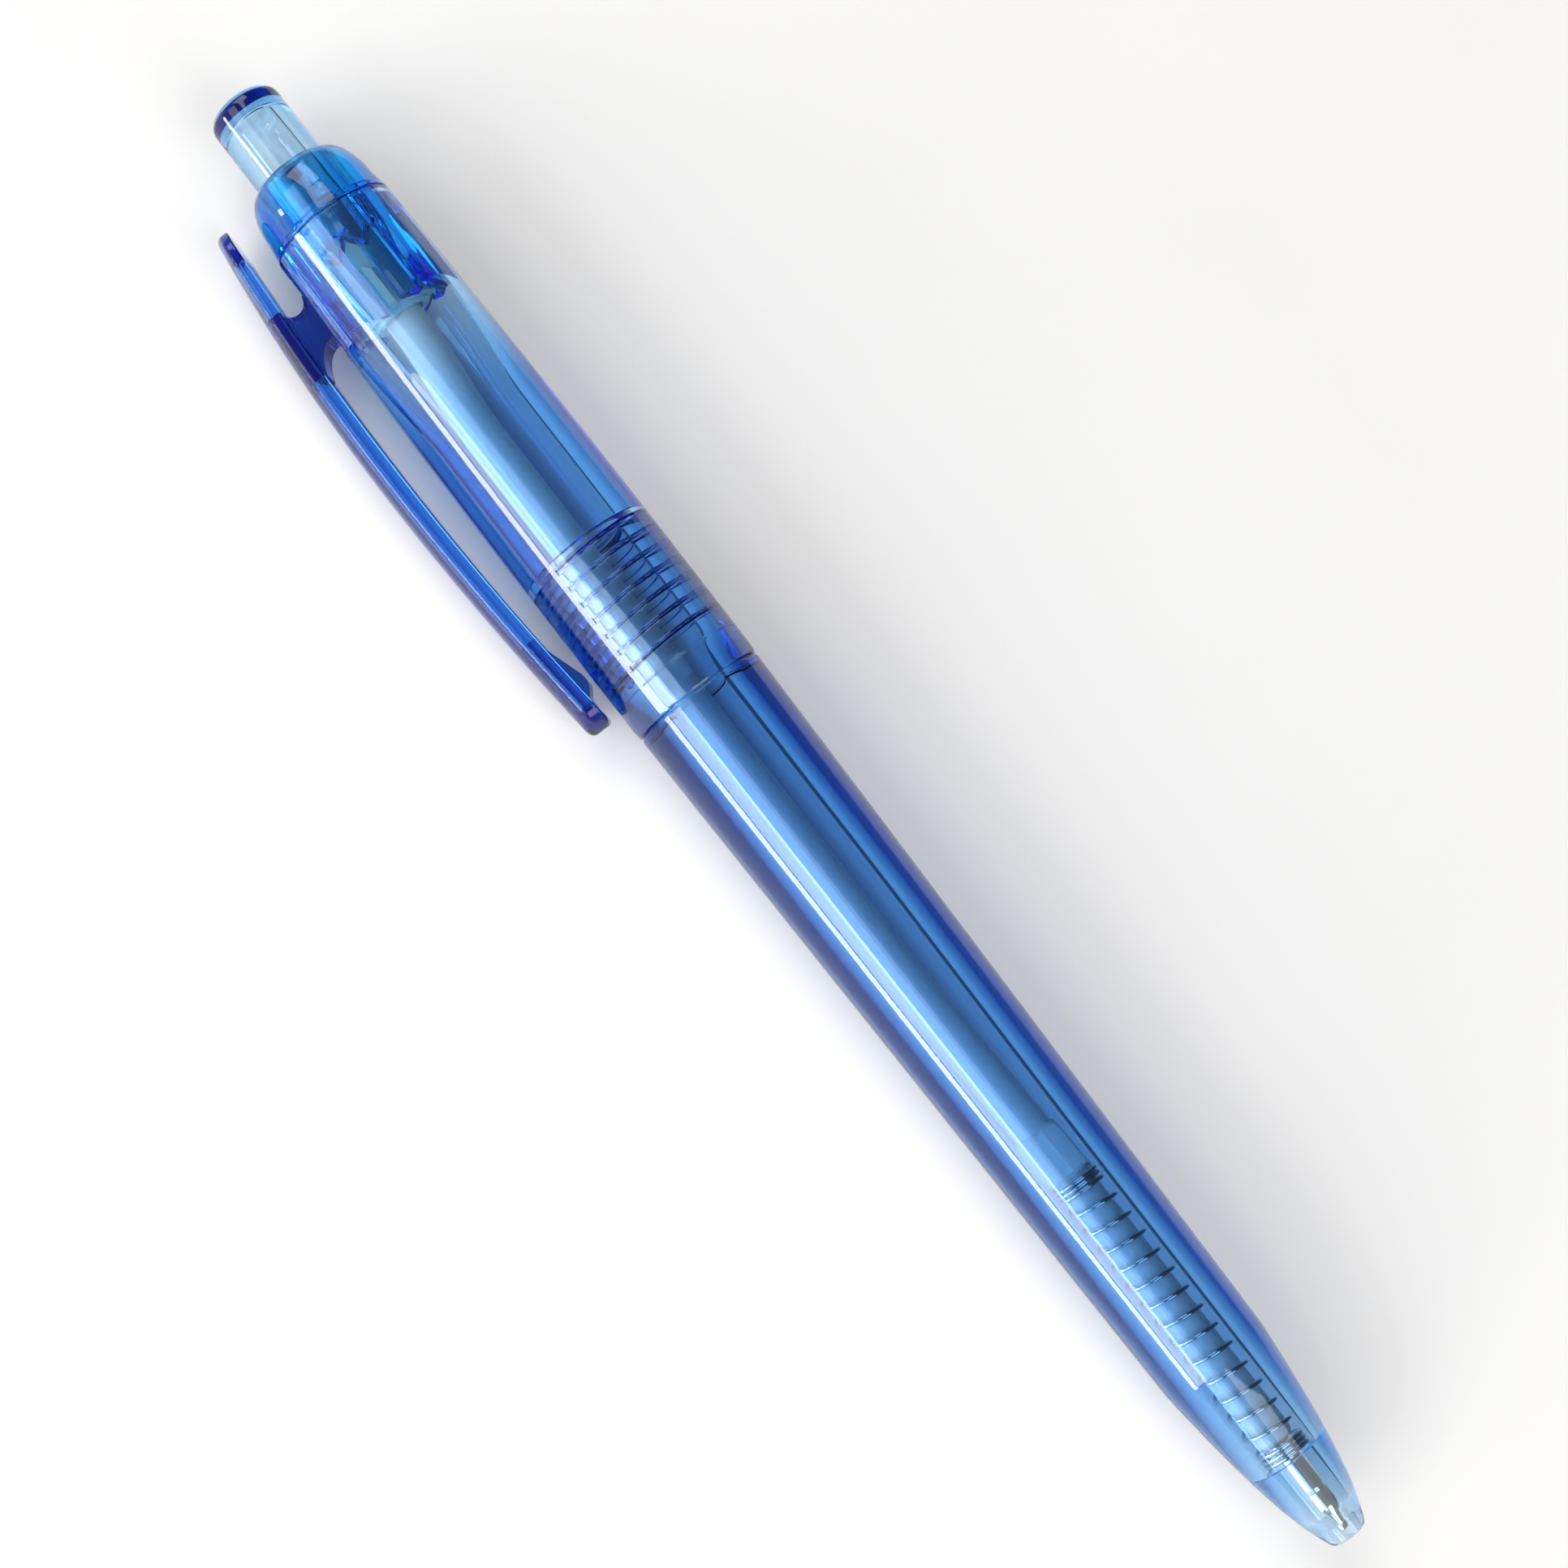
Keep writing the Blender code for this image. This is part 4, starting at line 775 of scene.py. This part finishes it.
# Web between foot and lever: a half-round notch above it and a swept fillet below.
def clipWeb(s):
    lowZ, highZ = s["webZ"]
    notchZ, sweepZ = highZ + s["notch"][2], lowZ - s["sweep"][1]
    footX = s["foot"][0][0] + s["footCover"]
    outline = np.vstack((
        ellipse((s["notch"][0], notchZ), s["notch"][1:], *s["notchArc"])[:, :2],
        ((clipArch(highZ, "inner") + s["root"], notchZ), (clipArch(lowZ, "inner") + s["root"], sweepZ)),
        swept((clipArch(lowZ, "inner") - s["sweepSink"], sweepZ), (s["sweep"][0], lowZ), (s["foot"][1][0], lowZ),
              s["sweepRows"])[:, :2],
        ((footX, lowZ), (footX, notchZ))))
    return sideBar("clipWeb", outline, s["webHalf"])


# Pad near the free end: a long ramp, a narrow land beside the barrel and a short back.
def clipPad(s):
    landLow, landHigh, landX = s["padLand"]
    sink, endZ = s["padSink"], s["hollow"][0] - s["padSink"]
    roofX = clipArch(landLow, "inner") + s["padRoot"]
    backX = clipArch(s["padEnd"], "inner") + sink
    outline = softPath(
        (roofX, s["padTop"], 0), (clipArch(s["padTop"], "inner") + sink, s["padTop"], 0), (landX, landHigh, 0.4),
        (landX, landLow, 0.3), (backX, s["padEnd"], 0.2), (backX, endZ, 0), (roofX, endZ, 0))
    return sideBar("clipPad", outline, s["padHalf"])


# Lever, web, foot and pad are joined into one clip; on the pen the foot stays in the barrel when the lever is bent
# open, and the web bends between them.
def makeClip(s):
    lever = clipLever(s)
    foot = dovetailBar("clipFoot", s["foot"], s["footZ"])
    carve(lever, [(clipWeb(s), "UNION"), (foot, "UNION"), (clipPad(s), "UNION")], s["sharpDeg"])
    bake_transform(lever)
    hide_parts("clip")
    print("piece", lever.name, len(lever.data.polygons), "faces, bends from barrel to clip")
    return lever


makeLowerBarrel(lowerBarrel)
makeUpperBarrel(upperBarrel)
makeEndCap(endCap)
makePushButton(pushButton)
makeCamRotor(camRotor)
makeRefillTube(refill)
makeInkColumn(inkColumn)
makePointBody(pointBody)
makeWritingBall(writingBall)
makeReturnSpring(returnSpring)
makeClip(clipShape)


# Stands an object at a place by its own right, up and back directions.
def standAt(made, right, up, back, place):
    turned = np.eye(4)
    turned[:3] = np.column_stack((right, up, back, place))
    made.matrix_world = Matrix(turned.tolist())
    bpy.context.scene.collection.objects.link(made)


# Camera as in the photograph: close above the pen, square to its axis but for a small tilt.
cameraSetup = {
    "place": (0.0125, -0.07042, 0.18575), "right": (0.612279, 0.746966, 0.259141),
    "down": (0.787631, -0.547704, -0.28223), "lens": 56.83, "sensor": 36.0, "nearest": 0.005,
}


def makeCamera(s):
    data = bpy.data.cameras.new("photoCamera")
    data.lens, data.sensor_width, data.clip_start = s["lens"], s["sensor"], s["nearest"]
    camera = bpy.data.objects.new("photoCamera", data)
    right, up = np.array(s["right"]), -np.array(s["down"])
    standAt(camera, right, up, np.cross(right, up), s["place"])
    bpy.context.scene.camera = camera


lampAim = (0, 0, 0.006)
lights = {
    "sky": {"place": (0.0, -1.19, 1.07), "size": (2.8, 0.75), "power": 12.0, "colour": (1.0, 0.99, 0.98)},
    "window": {"place": (0.0, -1.80, 0.76), "size": (1.36, 0.80), "power": 22.0, "colour": (1.0, 0.985, 0.96)},
    "strip": {"place": (-0.13, -1.9, 0.16), "size": (1.9, 0.30), "power": 24.0, "colour": (1.0, 0.98, 0.95)},
    "noseEnd": {"place": (1.3, -0.15, 1.3), "size": (1.0, 1.3), "power": 11.0, "colour": (1.0, 0.99, 0.98)},
    "buttonEnd": {"place": (-1.4, -0.15, 1.3), "size": (1.0, 1.3), "power": 11.0, "colour": (1.0, 0.99, 0.98)},
}


# A soft lamp that faces the pen, with its long side level.
def makeLamp(name, s):
    data = bpy.data.lights.new(name, "AREA")
    data.shape, data.size, data.size_y = "RECTANGLE", *s["size"]
    data.energy, data.color = s["power"], s["colour"]
    lamp = bpy.data.objects.new(name, data)
    back = np.array(s["place"]) - np.array(lampAim)
    back /= np.linalg.norm(back)
    side = np.cross((0, 0, 1.0), back)
    side /= np.linalg.norm(side)
    standAt(lamp, side, np.cross(back, side), back, s["place"])
    lamp.visible_camera = False


room = {
    "horizon": (0.62, 0.62, 0.63), "overhead": (0.19, 0.19, 0.20), "stops": (0.02, 0.6),
    "strength": (1.0, 0.3), "across": (-0.4, 0.6),
}


# Soft room light: pale at the horizon and dimmer overhead, stronger on the clip's side.
def makeRoom(s):
    world = bpy.data.worlds.new("room")
    bpy.context.scene.world = world
    world.use_nodes = True
    nodes, links = world.node_tree.nodes, world.node_tree.links
    where = nodes.new("ShaderNodeTexCoord")
    parts = nodes.new("ShaderNodeSeparateXYZ")
    links.new(where.outputs["Generated"], parts.inputs["Vector"])
    colour = ramp(nodes, links, parts.outputs["Z"], s["horizon"], s["overhead"], s["stops"])
    strength = spread(nodes, links, parts.outputs["Y"], *s["strength"], s["across"])
    links.new(colour, nodes["Background"].inputs["Color"])
    links.new(strength, nodes["Background"].inputs["Strength"])


tableTop = {
    "skin": ((0.885, 0.885, 0.88), (0.905, 0.905, 0.90)), "cloud": (30, (1, 1, 1), 2), "roughness": 0.7, "shine": 0.2,
    "lift": 0.1, "columns": 96, "rings": (0.05, 0.3, 1.0, 3.0, 9.0),
}


# A wide pale table top, a disc of rings; what the eye, a mirror or clear plastic sees of it is lifted towards white.
def makeFloor(s):
    finish, nodes, links, shader = newFinish("pale table")
    cloud = noise(nodes, links, *s["cloud"])
    links.new(ramp(nodes, links, cloud, *s["skin"]), shader.inputs["Base Color"])
    shader.inputs["Roughness"].default_value = s["roughness"]
    shader.inputs["Specular IOR Level"].default_value = s["shine"]
    path = nodes.new("ShaderNodeLightPath")
    seen = path.outputs["Is Camera Ray"]
    for kind in ("Is Glossy Ray", "Is Transmission Ray"):
        either = nodes.new("ShaderNodeMath")
        either.operation, either.use_clamp = "ADD", True
        links.new(seen, either.inputs[0])
        links.new(path.outputs[kind], either.inputs[1])
        seen = either.outputs["Value"]
    lift = nodes.new("ShaderNodeMath")
    lift.operation = "MULTIPLY"
    lift.inputs[1].default_value = s["lift"]
    links.new(seen, lift.inputs[0])
    links.new(lift.outputs["Value"], shader.inputs["Emission Strength"])
    shader.inputs["Emission Color"].default_value = (1, 1, 1, 1)
    columns = s["columns"]
    turn = fullTurn(columns)
    radius = np.array(s["rings"])[:, None]
    points = np.stack(np.broadcast_arrays(radius * np.cos(turn), radius * np.sin(turn), 0 * turn), -1).reshape(-1, 3)
    r, c = np.meshgrid(np.arange(len(radius) - 1), np.arange(columns), indexing="ij")
    near, far = r * columns, (r + 1) * columns
    nextC = (c + 1) % columns
    quads = np.stack((near + c, far + c, far + nextC, near + nextC), -1).reshape(-1, 4)
    mesh = bpy.data.meshes.new("tableTop")
    mesh.from_pydata(points.tolist(), [], quads.tolist() + [list(range(columns))])
    addObject("tableTop", mesh, finish)


makeCamera(cameraSetup)
for lampName, lampSettings in lights.items():
    makeLamp(lampName, lampSettings)
makeRoom(room)
makeFloor(tableTop)
lightBounces = 48  # enough for light to pass every wall of the clear pieces
scene = bpy.context.scene
scene.view_settings.view_transform = "Standard"
scene.cycles.max_bounces = lightBounces
scene.cycles.transmission_bounces = lightBounces
scene.cycles.glossy_bounces = lightBounces
print("camera, light and table ready")
